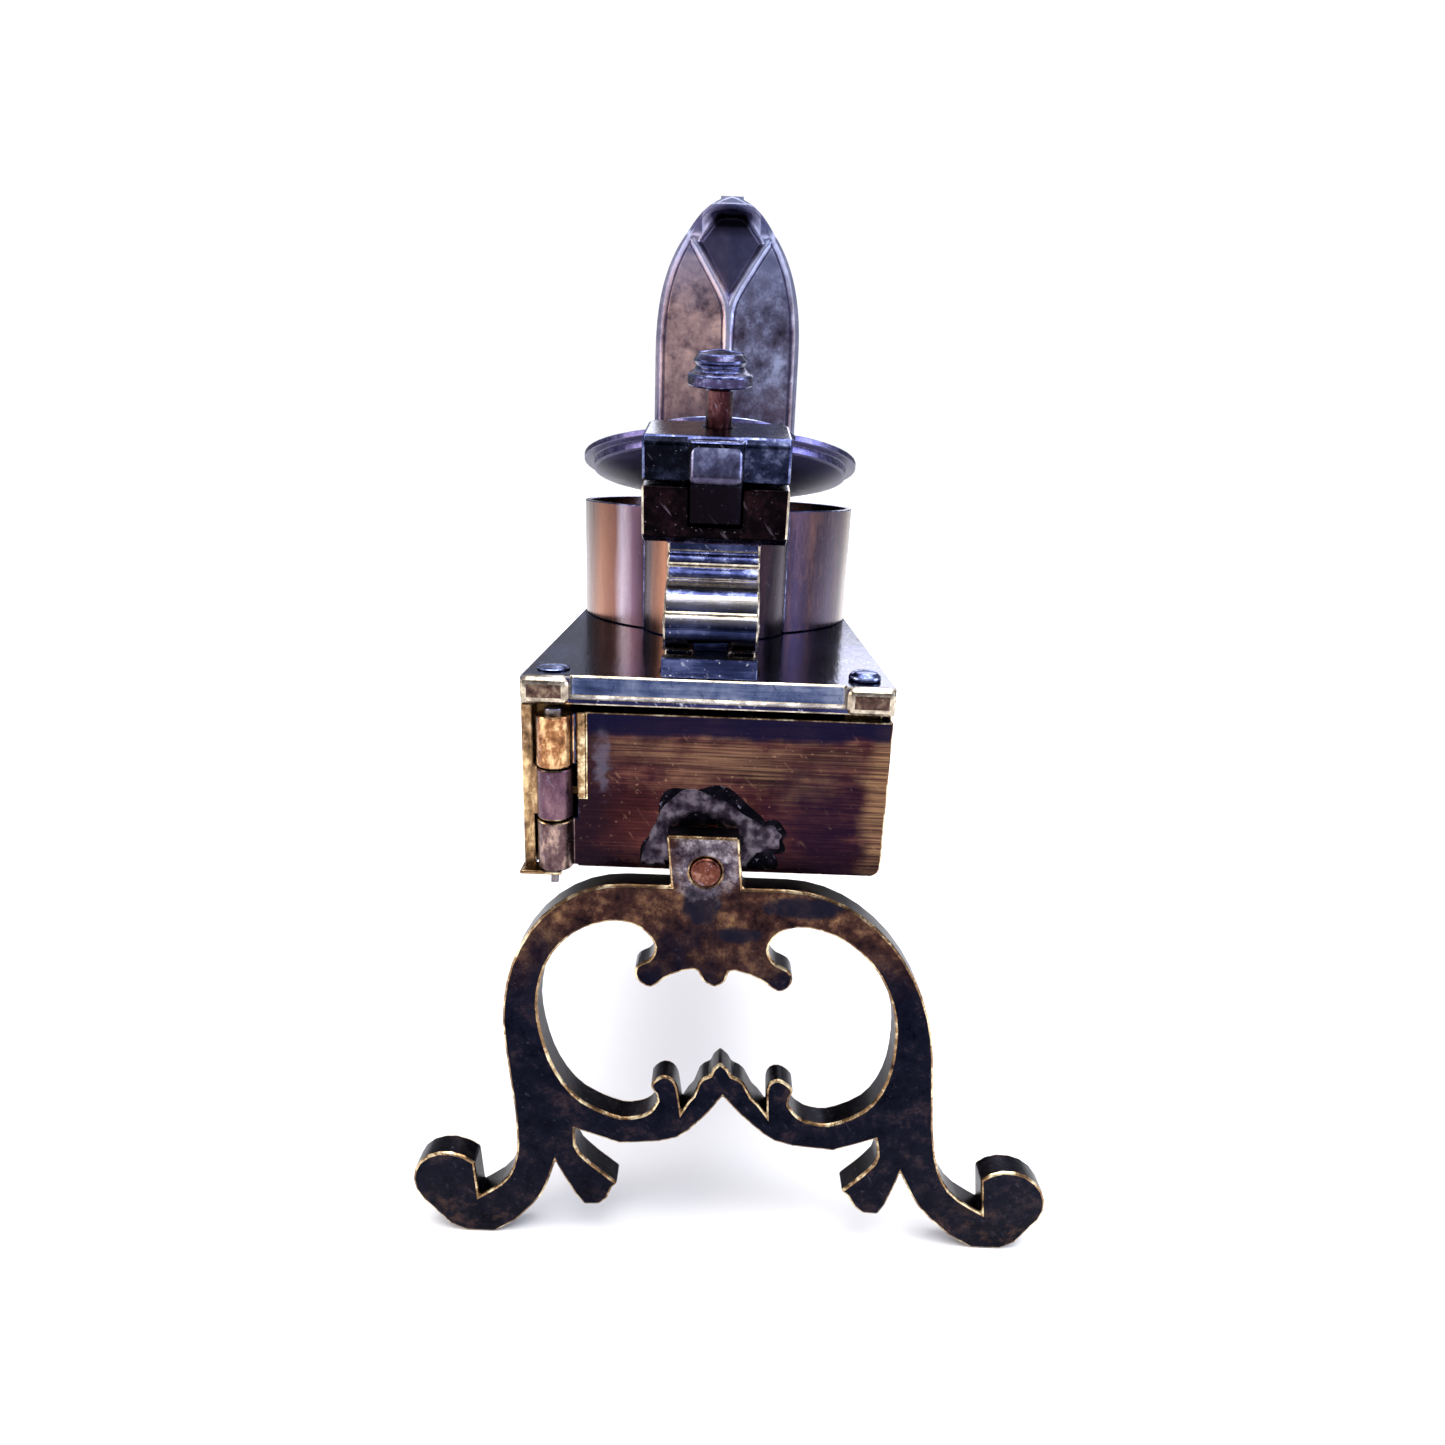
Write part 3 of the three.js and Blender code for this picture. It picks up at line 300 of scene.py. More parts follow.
# ---- Lock springs and trigger under the plate: blued spring steel, and a filed steel trigger ----
# The springs are bent strips screwed to the plate's underside, and the trigger turns on the cross-bolt.
blue_steel = aged_metal("blued_steel", "0e1230", "353e63", "707a9e", patch=4, rough=(0.18, 0.34),
                        seed=1.7)[0]
bright_steel = aged_metal("polished_steel", "2c2a40", "5c5a7c", "b4bad8", patch=3, rough=(0.14, 0.28),
                          seed=2.1)[0]
for node in ["mainspring", "trigger_spring"]:
    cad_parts[node].material_slots[0].material = blue_steel
worked("filed_trigger", "trigger", grey_steel, bright_steel, "trigger", "grey_steel", 0.3, 3)

# ---- Door: brass sheet brushed from side to side, hung on two knuckles beside the box's own ----
# Navy along the top, rubbed gold under it, wine-brown and near-black elsewhere, with a grey scrape by
# the hinge.


def mixed(tree, share, under, over):
    """One colour over another. The colour above is a socket or a code, and the share a socket or a number."""
    over = linear(over) if isinstance(over, str) else over
    return put(tree, "ShaderNodeMix", {"data_type": "RGBA"}, {0: share, 6: under, 7: over}).outputs[2]


def across(tree, place, axis, start, end, low=0.0, high=1.0, ragged=0.0, grit=4.0):
    """A share that goes from low to high between two places in mm on an axis, with a ragged edge."""
    spot = put(tree, "ShaderNodeSeparateXYZ", inputs={0: place}).outputs[axis]
    if ragged:
        rough = put(tree, "ShaderNodeTexNoise", inputs={
            "Vector": place, "Scale": 1 / (grit * MM), "Detail": 5})
        centred = put(tree, "ShaderNodeMath", {"operation": "SUBTRACT"}, {0: rough.outputs[0], 1: 0.5})
        spot = put(tree, "ShaderNodeMath", {"operation": "MULTIPLY_ADD"},
                   {0: centred.outputs[0], 1: ragged * MM, 2: spot}).outputs[0]
    return put(tree, "ShaderNodeMapRange", {"interpolation_type": "SMOOTHSTEP"},
               {0: spot, 1: start * MM, 2: end * MM, 3: low, 4: high}).outputs[0]


def around(tree, place, centre, radii, share=1.0, soft=0.35, grit=2.0, ragged=0.5):
    """A share inside an ellipse in x and z, given in mm, with a soft ragged edge."""
    apart = put(tree, "ShaderNodeVectorMath", {"operation": "SUBTRACT"},
                {0: place, 1: (centre[0] * MM, 0, centre[1] * MM)})
    scaled = put(tree, "ShaderNodeVectorMath", {"operation": "MULTIPLY"},
                 {0: apart.outputs[0], 1: (1 / (radii[0] * MM), 0, 1 / (radii[1] * MM))})
    length = put(tree, "ShaderNodeVectorMath", {"operation": "LENGTH"}, {0: scaled.outputs[0]})
    rough = put(tree, "ShaderNodeTexNoise", inputs={"Vector": place, "Scale": 1 / (grit * MM), "Detail": 5})
    centred = put(tree, "ShaderNodeMath", {"operation": "SUBTRACT"}, {0: rough.outputs[0], 1: 0.5})
    edge = put(tree, "ShaderNodeMath", {"operation": "MULTIPLY_ADD"},
               {0: centred.outputs[0], 1: ragged * 3, 2: length.outputs["Value"]})
    return put(tree, "ShaderNodeMapRange", {"interpolation_type": "SMOOTHSTEP"},
               {0: edge.outputs[0], 1: 1 - soft, 2: 1 + soft, 3: share, 4: 0.0}).outputs[0]


door_brass, tree, shader, colour, place = aged_metal(
    "brushed_door_brass", "09040a", "2b141a", "5a3630", patch=7, flow=(0.6, 1, 1.2), grain=(0.1, 1, 3.2),
    brushing=0.4, spread=0.15, rough=(0.22, 0.38), marks=0.3, marked="8d6a58", seed=3.0)
streaks = put(tree, "ShaderNodeTexNoise", inputs={
    "Vector": put(tree, "ShaderNodeMapping", inputs={0: place, 3: (0.06, 1, 3.4)}).outputs[0],
    "Scale": 1 / (0.6 * MM), "Detail": 3})
lit = put(tree, "ShaderNodeMapRange", inputs={0: streaks.outputs[0], 1: 0.4, 2: 0.62, 3: 0.15, 4: 1.0})
gold = put(tree, "ShaderNodeMath", {"operation": "MULTIPLY"},
           {0: around(tree, place, (-1.0, 58.8), (10.0, 2.6), 0.6, 0.9, 3.0, 1.3), 1: lit.outputs[0]})
colour = mixed(tree, gold.outputs[0], colour, "7c5e48")
colour = mixed(tree, around(tree, place, (-6.0, 51.0), (9.0, 4.0), 0.3, 0.8, 3.0), colour, "50281e")
right_rub = put(tree, "ShaderNodeMath", {"operation": "MULTIPLY"},
                {0: across(tree, place, 0, 11.4, 13.8, 0.0, 0.6, 4.0), 1: lit.outputs[0]})
colour = mixed(tree, around(tree, place, (8.0, 52.5), (5.0, 5.0), 0.75, 0.7), colour, "10091a")
colour = mixed(tree, right_rub.outputs[0], colour, "8a6a4c")
colour = mixed(tree, across(tree, place, 2, 50.2, 47.4, 0.0, 0.7, 3.0), colour, "0d0810")
colour = mixed(tree, across(tree, place, 0, -12.5, -16.5, 0.0, 0.7, 4.0), colour, "120d16")
colour = mixed(tree, around(tree, place, (-15.2, 58.4), (0.7, 3.0), 0.42, 0.6, 1.0, 1.0), colour,
               "5c5868")
colour = mixed(tree, across(tree, place, 2, 60.6, 61.6, 0.0, 0.92, 2.4), colour, "0d0d22")
tree.links.new(colour, shader.inputs["Base Color"])
door = worked("end_door", "front_door", door_brass, rubbed_gold, "door", "dark_brass", 0.16, 2)
gold_knuckle = aged_metal("gold_knuckle_brass", "28140e", "84593a", "dcb888", patch=1.5, flow=(1, 1, 0.6),
                          turn=0.48, spread=0.12, rough=(0.16, 0.3), seed=3.4)[0]
low_knuckle = aged_metal("brown_knuckle_brass", "1c1018", "5b4748", "b89c8c", patch=1.7, flow=(1, 1, 0.4),
                         seed=3.7)[0]
hinge_leaf = aged_metal("dark_hinge_leaf", "0a0c1c", "24283e", "5c6484", patch=3, seed=3.9)[0]
knuckle_side = -18.1
finish(door, gold_knuckle, lambda at, normal: at.x < knuckle_side and at.z > 57.9 and at.y < -60.4)
finish(door, low_knuckle, lambda at, normal: at.x < knuckle_side and at.z < 51.8 and at.y < -60.4)
finish(door, hinge_leaf, lambda at, normal: knuckle_side <= at.x < -16.9
       and (at.x < -17.85 or at.z < 54.0))
finish(door, rubbed_gold, lambda at, normal: -17.8 < at.x < -16.85 and at.z > 54.2 and at.y < -62.3)

# ---- Hinge pin: a split steel pin, its two ends spread under the box ----
# It is pushed up through all three knuckles, and drawn steel like this stays grey.
worked("split_hinge_pin", "door_hinge_pin", grey_steel, bright_steel, "case", "grey_steel", 0.08, 2)

# ---- Scroll foot: cast brass 3 mm thick, filed flat in front, its edges rubbed to pale gold ----
# Blue-black in the legs, browner at the top where it is handled, with a soldered and riveted tab on the door.
rivet_low, rivet_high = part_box("foot_rivet")
rivet_x = (rivet_low.x + rivet_high.x) / 2 / MM
rivet_z = (rivet_low.z + rivet_high.z) / 2 / MM
foot_brass, tree, shader, colour, place = aged_metal(
    "cast_foot_brass", "02030c", "0d0e1a", "33272a", patch=5, spread=0.16, turn=0.52, rough=(0.22, 0.4),
    marks=0.13, marked="5b5a6c", seed=5.0)
browns = put(tree, "ShaderNodeTexNoise", inputs={
    "Vector": place, "Scale": 1 / (2.2 * MM), "Detail": 8, "Roughness": 0.72})
brown = put(tree, "ShaderNodeValToRGB", inputs={0: browns.outputs[0]},
            stops=[(0.34, "120a0e"), (0.5, "33201c"), (0.62, "5c4232"), (0.74, "8c6c48")])
colour = mixed(tree, across(tree, place, 2, 33.0, 42.0, 0.0, 0.92, 16.0, 7.0), colour, brown.outputs[0])
# Dark spots, each placed from the rivet and as wide and tall as given, in mm.
for right, up, wide, tall, share in [
    (-0.3, -3.4, 1.9, 2.6, 0.9),
    (3.7, -7.2, 2.3, 0.9, 0.85),
    (10.5, -3.7, 4.2, 1.2, 0.9),
    (-17.5, -16, 1.6, 5, 0.5),
]:
    spot = around(tree, place, (rivet_x + right, rivet_z + up), (wide, tall), share, 0.25, 1.2, 0.3)
    colour = mixed(tree, spot, colour, "10121e")
low_down = across(tree, place, 2, 8.0, 2.0, 0.0, 0.5, 5.0, 3.0)
worn_spots = put(tree, "ShaderNodeMapRange", inputs={0: browns.outputs[0], 1: 0.5, 2: 0.62})
toes = put(tree, "ShaderNodeMath", {"operation": "MULTIPLY"}, {0: low_down, 1: worn_spots.outputs[0]})
colour = mixed(tree, toes.outputs[0], colour, "513a30")
tab_steel = put(tree, "ShaderNodeValToRGB", inputs={0: browns.outputs[0]},
                stops=[(0.38, "241c26"), (0.5, "544c56"), (0.64, "a8a2aa")])
tab = around(tree, place, (rivet_x, rivet_z + 1.0), (3.4, 3.6), 0.8, 0.3, 1.2, 0.4)
colour = mixed(tree, tab, colour, tab_steel.outputs[0])
tree.links.new(colour, shader.inputs["Base Color"])
foot = worked("scroll_foot", "front_foot", foot_brass, rubbed_gold, "door", "worn_brass", 0.26, 2, 30)
# Every side wall of the foot is painted near-black as shade.
cast_side = aged_metal("foot_side_painted_shade", "020208", "0b0a12", "2c2426", patch=4, rough=(0.3, 0.45),
                       marks=0.08, seed=5.5)[0]
finish(foot, cast_side, lambda at, normal: abs(normal.y) < 0.3)

# ---- Foot's rivet: copper, hammered flush, with the solder that was run round the tab ----
# The solder is lead and tin, grey and lumpy, and a skin of burnt flux is left round it.
copper = aged_metal("tarnished_copper", "240a0a", "5a332a", "9a7060", patch=1.3, rough=(0.25, 0.42),
                    seed=6.0)[0]
worked("foot_tab_rivet", "foot_rivet", copper, copper, "door", "copper_rivet", 0.3, 3)
solder, tree, shader = new_material("lead_tin_solder")
place = put(tree, "ShaderNodeTexCoord").outputs["Object"]
smears = put(tree, "ShaderNodeTexNoise", inputs={"Vector": place, "Scale": 1 / (1.3 * MM), "Detail": 6})
tone = put(tree, "ShaderNodeValToRGB", inputs={0: smears.outputs[0]},
           stops=[(0.38, "1a151e"), (0.5, "332c36"), (0.66, "625a64")])
bumps = put(tree, "ShaderNodeBump", inputs={
    "Strength": 0.6, "Distance": 0.2 * MM, "Height": smears.outputs[0]})
tree.links.new(tone.outputs[0], shader.inputs["Base Color"])
tree.links.new(bumps.outputs[0], shader.inputs["Normal"])
shader.inputs["Metallic"].default_value = 1.0
shader.inputs["Roughness"].default_value = 0.42
black_flux = aged_metal("burnt_flux", "020206", "08070c", "1c1820", patch=2, rough=(0.4, 0.6), seed=6.5)[0]
door_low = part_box("front_door")[0]
solder_depth = 1.95


def run_of_solder(name, metal, centre, radii, proud, ring=None):
    """Solder that ran flat over the door: a ring when its thickness is given, or a patch. The centre is
    measured from the foot's rivet and proud is half of its depth, both in mm."""
    if ring:
        bpy.ops.mesh.primitive_torus_add(major_radius=1, minor_radius=ring, major_segments=96,
                                         minor_segments=16, rotation=(math.radians(90), 0, 0))
    else:
        bpy.ops.mesh.primitive_ico_sphere_add(subdivisions=5, radius=1)
    run = bpy.context.object
    run.name = name
    only(run)
    bpy.ops.object.transform_apply(location=True, rotation=True, scale=True)
    thick = ring or 1
    for vertex in run.data.vertices:
        outward = Vector((vertex.co.x, 0, vertex.co.z)).normalized()
        lumpy = 1 + 0.34 * noise.noise(outward * 1.6 + Vector((centre[0], 0, centre[1])))
        vertex.co = Vector(((rivet_x + centre[0] + vertex.co.x * radii[0] * lumpy) * MM,
                            door_low.y + (solder_depth + vertex.co.y / thick * proud) * MM,
                            (rivet_z + centre[1] + vertex.co.z * radii[1] * lumpy) * MM))
    bpy.ops.object.mode_set(mode="EDIT")
    bpy.ops.mesh.select_all(action="SELECT")
    bpy.ops.mesh.bisect(plane_co=(0, 0, door_low.z + 0.5 * MM), plane_no=(0, 0, -1), clear_outer=True,
                        use_fill=True)
    bpy.ops.object.mode_set(mode="OBJECT")
    bpy.ops.object.shade_smooth()
    return dressed(run, "door", "worn_brass", metal)


run_of_solder("flux_stain_ring", black_flux, (0.3, 1.0), (4.9, 4.8), 0.05, ring=0.42)
run_of_solder("flux_stain_right", black_flux, (5.6, 2.6), (2.9, 2.2), 0.05)
run_of_solder("solder_run_ring", solder, (-0.3, 0.9), (5.0, 4.9), 0.12, ring=0.24)
run_of_solder("solder_run_right", solder, (5.8, 2.7), (2.2, 1.5), 0.12)
run_of_solder("solder_run_left", solder, (-4.6, 2.0), (1.5, 2.3), 0.14)

# ---- Top plate: thick brass, polished nearly to a mirror, its front edge filed back between the corners ----
# The filed band is brushed and blue-grey, its lip is rubbed to cream, and four blued screws hold it down.
plate_brass = aged_metal("polished_plate_brass", "0a0a1e", "1c1c38", "41446a", patch=9, grain=(1, 0.3, 1),
                         brushing=0.2, rough=(0.1, 0.2), marks=0.42, marked="c8c8dc", seed=8.0)[0]
front_band = aged_metal("brushed_blue_band", "3a466c", "6c7aa4", "b4bcd6", patch=5, grain=(0.1, 1, 2),
                        marks=0.5, marked="2a3050", rough=(0.22, 0.34), seed=8.3)[0]
cream_lip = aged_metal("rubbed_cream_lip", "3c3430", "9c9080", "ece0c8", patch=2.4, rough=(0.2, 0.32),
                       seed=8.6)[0]
pale_edge = aged_metal("rubbed_steel_edge", "343a5c", "7a84ac", "d8e0f6", patch=1.8, rough=(0.18, 0.3),
                       seed=2.6)[0]
boss_brass = aged_metal("mottled_boss_brass", "1a1216", "4a3832", "8c7866", patch=1.6, rough=(0.2, 0.34),
                        seed=8.9)[0]
plate = worked("top_plate_polished", "top_plate", plate_brass, cream_lip, "case", "plate_brass", 0.2, 2)
finish(plate, front_band, lambda at, normal: normal.y < -0.9 and normal.z > 0.1)
finish(plate, cream_lip, lambda at, normal: at.y < -61.3 and at.z < 65.1 and normal.z > -0.9
       and -18.4 < at.x < 9.4)

# Each front corner is left as a boss, its facets filed round and rubbed pale.
plate_low, plate_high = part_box("top_plate")
boss_wide, boss_deep, boss_tall = 5.1, 1.9, 2.98
boss_y, boss_z = -61.9, 65.66
for side, left in (("left", plate_low.x / MM - 0.05), ("right", plate_high.x / MM - boss_wide + 0.05)):
    bpy.ops.mesh.primitive_cube_add(size=1)
    boss = bpy.context.object
    boss.name = f"corner_boss_{side}"
    boss.data.transform(Matrix.Translation(Vector((left + boss_wide / 2, boss_y, boss_z)) * MM)
                        @ Matrix.Diagonal((boss_wide * MM, boss_deep * MM, boss_tall * MM, 1)))
    boss.data.materials.append(boss_brass)
    boss.data.materials.append(cream_lip)
    apply(boss, "BEVEL", width=0.8 * MM, segments=3, material=1)
    only(boss)
    bpy.ops.object.shade_smooth_by_angle(angle=math.radians(24))
    dressed(boss, "case", "plate_brass", boss_brass, cream_lip)
for number in range(1, 5):
    worked(f"plate_screw_head_{number}", f"plate_screw_{number}", blue_steel, pale_edge, "case",
           "blued_steel", 0.12)

# ---- Cross-bolt: brass bolt with a domed head on the left and a polished steel dome nut on the right ----
# It runs through both walls under the plate and carries the trigger between them.
worked("cross_bolt_turned", "cross_bolt", rubbed_gold, rubbed_gold, "case", "worn_brass", 0.2, 3)
worked("cross_nut_turned", "cross_nut", bright_steel, pale_edge, "case", "bright_steel", 0.2, 3)

# ---- Cock: brass casting filed into two rolls, with a fixed foot and a steel pin; its jaws grip a flint ----
# The tops of the rolls are painted pale gold and blue-white as a highlight, and their undersides painted
# black as shade, by the way each face points.
cock_brass, tree, shader, colour, place = aged_metal(
    "roll_brass_painted_light", "060814", "1e2440", "4c5276", patch=5, grain=(0.15, 1, 2), brushing=0.35,
    rough=(0.12, 0.26), marks=0.35, marked="c8c8d4", seed=9.0)
facing = put(tree, "ShaderNodeSeparateXYZ", inputs={0: put(tree, "ShaderNodeTexCoord").outputs["Normal"]})
# Painted highlight on faces that point up, painted shade on faces that point down.
painted_top_highlight = put(tree, "ShaderNodeMapRange", {"interpolation_type": "SMOOTHSTEP"},
              {0: facing.outputs["Z"], 1: 0.12, 2: 0.8, 3: 0.0, 4: 0.62})
under = put(tree, "ShaderNodeMapRange", {"interpolation_type": "SMOOTHSTEP"},
            {0: facing.outputs["Z"], 1: 0.1, 2: -0.4, 3: 0.0, 4: 0.95})
colour = mixed(tree, painted_top_highlight.outputs[0], colour, "948e84")
colour = mixed(tree, under.outputs[0], colour, "04040a")
tree.links.new(colour, shader.inputs["Base Color"])
soft_edge = aged_metal("soft_blue_edge", "0c1028", "343a60", "8890b8", patch=2.0, rough=(0.2, 0.32),
                       seed=2.9)[0]
middle_x = -4.47  # the box's middle in mm, as the foot spreads further to the right
worked("cock_foot", "cock_base", cock_brass, soft_edge, "case", "dark_brass", 0.14)
neck = worked("cock_neck", "cock_body", cock_brass, cream_lip, "cock", "dark_brass", 0.24, 3, 28)
# The jaws are forged steel that has gone almost black, with a faint red that is a painted reflection.
black_jaw = aged_metal("blackened_jaw_red_reflection", "010102", "080507", "1e1014", patch=3, rough=(0.2, 0.36),
                       marks=0.3, marked="6c6270", seed=9.4)[0]
jaw_bevel = aged_metal("violet_jaw_bevel", "0c0a12", "28202f", "5c587a", patch=2, rough=(0.2, 0.34),
                       seed=9.6)[0]
finish(neck, jaw_bevel, lambda at, normal: 79.8 < at.z < 80.9 and normal.z < -0.2)
finish(neck, black_jaw, lambda at, normal: at.z > 80.6 and -11.8 < at.x < 2.9)
# The upward faces of the rolls take the pale blue edge metal as a painted highlight.
finish(neck, soft_edge, lambda at, normal: 74.8 < at.z < 80 and abs(at.x - middle_x) < 4.5
       and 0.3 < normal.z < 0.9)
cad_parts["cock_pin"].material_slots[0].material = grey_steel

# ---- Upper jaw: blued steel block with a rounded tongue that slides in the lower jaw's notch ----
# Almost black on the left, mottled blue on the right, and the tongue's crown painted bright as a highlight,
# with painted shade at its foot in the notch.
jaw_steel, tree, shader, colour, place = aged_metal(
    "blued_jaw_steel", "020205", "07080f", "1c2030", patch=3, rough=(0.18, 0.34), seed=11.0)
mottle = put(tree, "ShaderNodeTexNoise", inputs={
    "Vector": place, "Scale": 1 / (1.8 * MM), "Detail": 7, "Roughness": 0.7})
blues = put(tree, "ShaderNodeValToRGB", inputs={0: mottle.outputs[0]},
            stops=[(0.36, "080a16"), (0.5, "1a1e32"), (0.64, "4a4f68")])
colour = mixed(tree, across(tree, place, 0, -3.0, -1.0, 0.0, 0.85, 1.5), colour, blues.outputs[0])
colour = mixed(tree, across(tree, place, 2, 86.6, 85.6, 0.0, 0.9, 1.0), colour, "0a060a")
tree.links.new(colour, shader.inputs["Base Color"])
upper = worked("upper_jaw", "top_jaw", jaw_steel, soft_edge, "top_jaw", "blued_steel", 0.26, 3)
finish(upper, jaw_steel, lambda at, normal: at.z < 86.6 or (abs(at.x - middle_x) < 6 and normal.z < 0.5))
tongue_steel, tree, shader, colour, place = aged_metal(
    "tongue_steel_painted_light", "2c2638", "646686", "a8aed0", patch=2.2, rough=(0.22, 0.36), seed=11.5)
# Painted shade: darker towards the tongue's foot, where it sits in the lower jaw's notch.
colour = mixed(tree, across(tree, place, 2, 88.4, 86.4, 0.0, 0.75, 2.4, 1.6), colour, "2c2230")
tree.links.new(colour, shader.inputs["Base Color"])
jaw_tilt = math.radians(-12.3)
tongue_wide, tongue_thick, tongue_tall = 5.4, 1.5, 4.4
bpy.ops.mesh.primitive_cube_add(size=1)
crown = bpy.context.object
crown.name = "tongue_crown"
crown.data.transform(Matrix.Translation(Vector((middle_x, -57.0, 88.2)) * MM)
                     @ Matrix.Rotation(jaw_tilt, 4, "X")
                     @ Matrix.Diagonal((tongue_wide * MM, tongue_thick * MM, tongue_tall * MM, 1)))
apply(crown, "BEVEL", width=0.7 * MM, segments=5)
only(crown)
bpy.ops.object.shade_smooth_by_angle(angle=math.radians(40))
dressed(crown, "top_jaw", "blued_steel", tongue_steel)

# ---- Jaw screw: turned steel with a slotted dome over a collar; its shank is painted with a coppery reflection ----
# It goes down through the upper jaw into the lower one and clamps a flint between them.
# A painted reflection: the shank is coloured coppery where it mirrors the brass parts around it.
shank_reflection_metal = aged_metal("shank_copper_reflection", "0c0608", "30181c", "6c4a4c", patch=1.8,
                         flow=(1, 1, 0.3), seed=12)[0]
dark_screw = aged_metal("worn_screw_steel", "16121e", "38334e", "7c80a6", patch=2.2, rough=(0.16, 0.3),
                        seed=12.4)[0]
jaw_screw = worked("jaw_screw_turned", "jaw_screw", dark_screw, soft_edge, "jaw_screw", "bright_steel",
                   0.16, 3, 28)
finish(jaw_screw, shank_reflection_metal, lambda at, normal: at.z < 95.3 and abs(at.x - middle_x) < 1.7)

# ---- Tinder drum: brass sheet bent round a soldered bottom, with a half-round bay towards the cock ----
# Broad copper and blue-white stripes stand up it on the left and the right side is dark, all painted
# reflections as in a polished tube.
drum_brass, tree, shader, colour, place = aged_metal(
    "bent_drum_brass", "1c1218", "50383a", "a07462", patch=5, flow=(1, 1, 0.15), grain=(1, 1, 0.3),
    brushing=0.25, rough=(0.2, 0.34), seed=13.0)
wobble = put(tree, "ShaderNodeTexNoise", inputs={
    "Vector": put(tree, "ShaderNodeMapping", inputs={0: place, 3: (1, 1, 0.2)}).outputs[0],
    "Scale": 1 / (3 * MM), "Detail": 4})
drum_low, drum_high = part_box("tinder_drum")
where = put(tree, "ShaderNodeMapRange", inputs={
    0: put(tree, "ShaderNodeSeparateXYZ", inputs={0: place}).outputs["X"], 1: drum_low.x, 2: drum_high.x})
shaken = put(tree, "ShaderNodeMath", {"operation": "MULTIPLY_ADD"},
             {0: wobble.outputs[0], 1: 0.05, 2: where.outputs[0]})
# Painted reflections: stripes of colour set by the place across the drum, waved a little.
painted_reflection_bands = put(tree, "ShaderNodeValToRGB", inputs={0: shaken.outputs[0]}, stops=[
    (0.02, "241820"), (0.07, "5c4038"), (0.12, "9c6c54"), (0.17, "7c5448"), (0.2, "b0a4b4"), (0.24, "6c5468"),
    (0.3, "1c1420"), (0.36, "a07058"), (0.42, "2c1c20"), (0.62, "100e1a"), (0.72, "14121e"), (0.8, "30304c"),
    (0.86, "1c1a2a"), (0.93, "3c3a50"), (0.97, "242436"), (1.0, "6c5c4c")])
colour = mixed(tree, 0.72, colour, painted_reflection_bands.outputs[0])
tree.links.new(colour, shader.inputs["Base Color"])
worked("tinder_drum_bent", "tinder_drum", drum_brass, soft_edge, "case", "dark_brass", 0.14, 2, 28)

# ---- Lid hinge: brass bracket on the drum's back with a steel pin and a blued leaf spring ----
# The bracket is cut from the same sheet as the box, and the spring holds the lid open or shut.
worked("lid_bracket", "lid_hinge_bracket", box_brass, rubbed_gold, "case", "worn_brass", 0.2)
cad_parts["lid_hinge_pin"].material_slots[0].material = grey_steel
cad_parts["lid_spring"].material_slots[0].material = blue_steel

# ---- Lid: a brass disc with a soldered ring under it that plugs the drum ----
# It is cut from sheet, dark with age on both faces, and its rim is rubbed pale where a thumb lifts it.
lid_brass = aged_metal("dark_lid_brass", "2c2a48", "4a4770", "7c78a0", patch=6, grain=(0.4, 1, 1),
                       rough=(0.2, 0.34), seed=15.0)[0]
# The faces inside the flat radius are dark metal and not rubbed rim. Its tilt narrows the lid from above.
lid_y, lid_narrowed, flat_radius = -17.1, 0.977, 18.2
lid = worked("drum_lid_flat", "drum_lid", lid_brass, pale_edge, "lid", "dark_brass", 0.12, 2, 28)
finish(lid, lid_brass, lambda at, normal: (at.x - middle_x) ** 2 + ((at.y - lid_y) / lid_narrowed) ** 2
       < flat_radius ** 2)

# Seen from below it is a smooth violet-brown patina, dull enough not to mirror the drum.
lid_patina, tree, shader = aged_metal(
    "violet_lid_patina", "1c1936", "2e2b4c", "4c486c", patch=5, brushing=0.15, rough=(0.4, 0.5), marks=0.15,
    seed=15.5)[:3]
shader.inputs["Metallic"].default_value = 0.3
finish(lid, lid_patina, lambda at, normal: normal.z < -0.2)

# A thin plate soldered across the ring keeps tinder out of it, so the lid is smooth from below.
plug_radius = 17.75
lid_tilt = math.radians(-12.3)
plug_thick = 0.9
ring_centre = Vector((middle_x, lid_y, 86.42)) * MM
bpy.ops.mesh.primitive_cylinder_add(vertices=128, radius=plug_radius * MM, depth=plug_thick * MM)
plug = bpy.context.object
plug.name = "lid_plug_plate"
plug.data.transform(Matrix.Translation(ring_centre) @ Matrix.Rotation(lid_tilt, 4, "X")
                    @ Matrix.Translation((0, 0, 0.42 * MM)))
apply(plug, "BEVEL", width=0.3 * MM, segments=3, limit_method="ANGLE")
only(plug)
bpy.ops.object.shade_smooth_by_angle(angle=math.radians(35))
dressed(plug, "lid", "dark_brass", lid_patina)

# ---- Striking steel: forged leaf on the lid, with raised rims, a Y-shaped ridge and a curled tip ----
# Brown-pink on the left and blue-grey on the right as painted reflections, its ridges rubbed pale, with
# painted shade and a painted highlight at the curled tip.
leaf_steel, tree, shader, colour, place = aged_metal(
    "forged_leaf_steel", "4c3a46", "a08484", "d0aea4", patch=3, spread=0.16, rough=(0.26, 0.42), seed=17.0)
mottle = put(tree, "ShaderNodeTexNoise", inputs={
    "Vector": place, "Scale": 1 / (3.0 * MM), "Detail": 8, "Roughness": 0.7})
reflection_greys = put(tree, "ShaderNodeValToRGB", inputs={0: mottle.outputs[0]},
            stops=[(0.34, "322d3e"), (0.5, "6a6a86"), (0.64, "a8b0d2")])
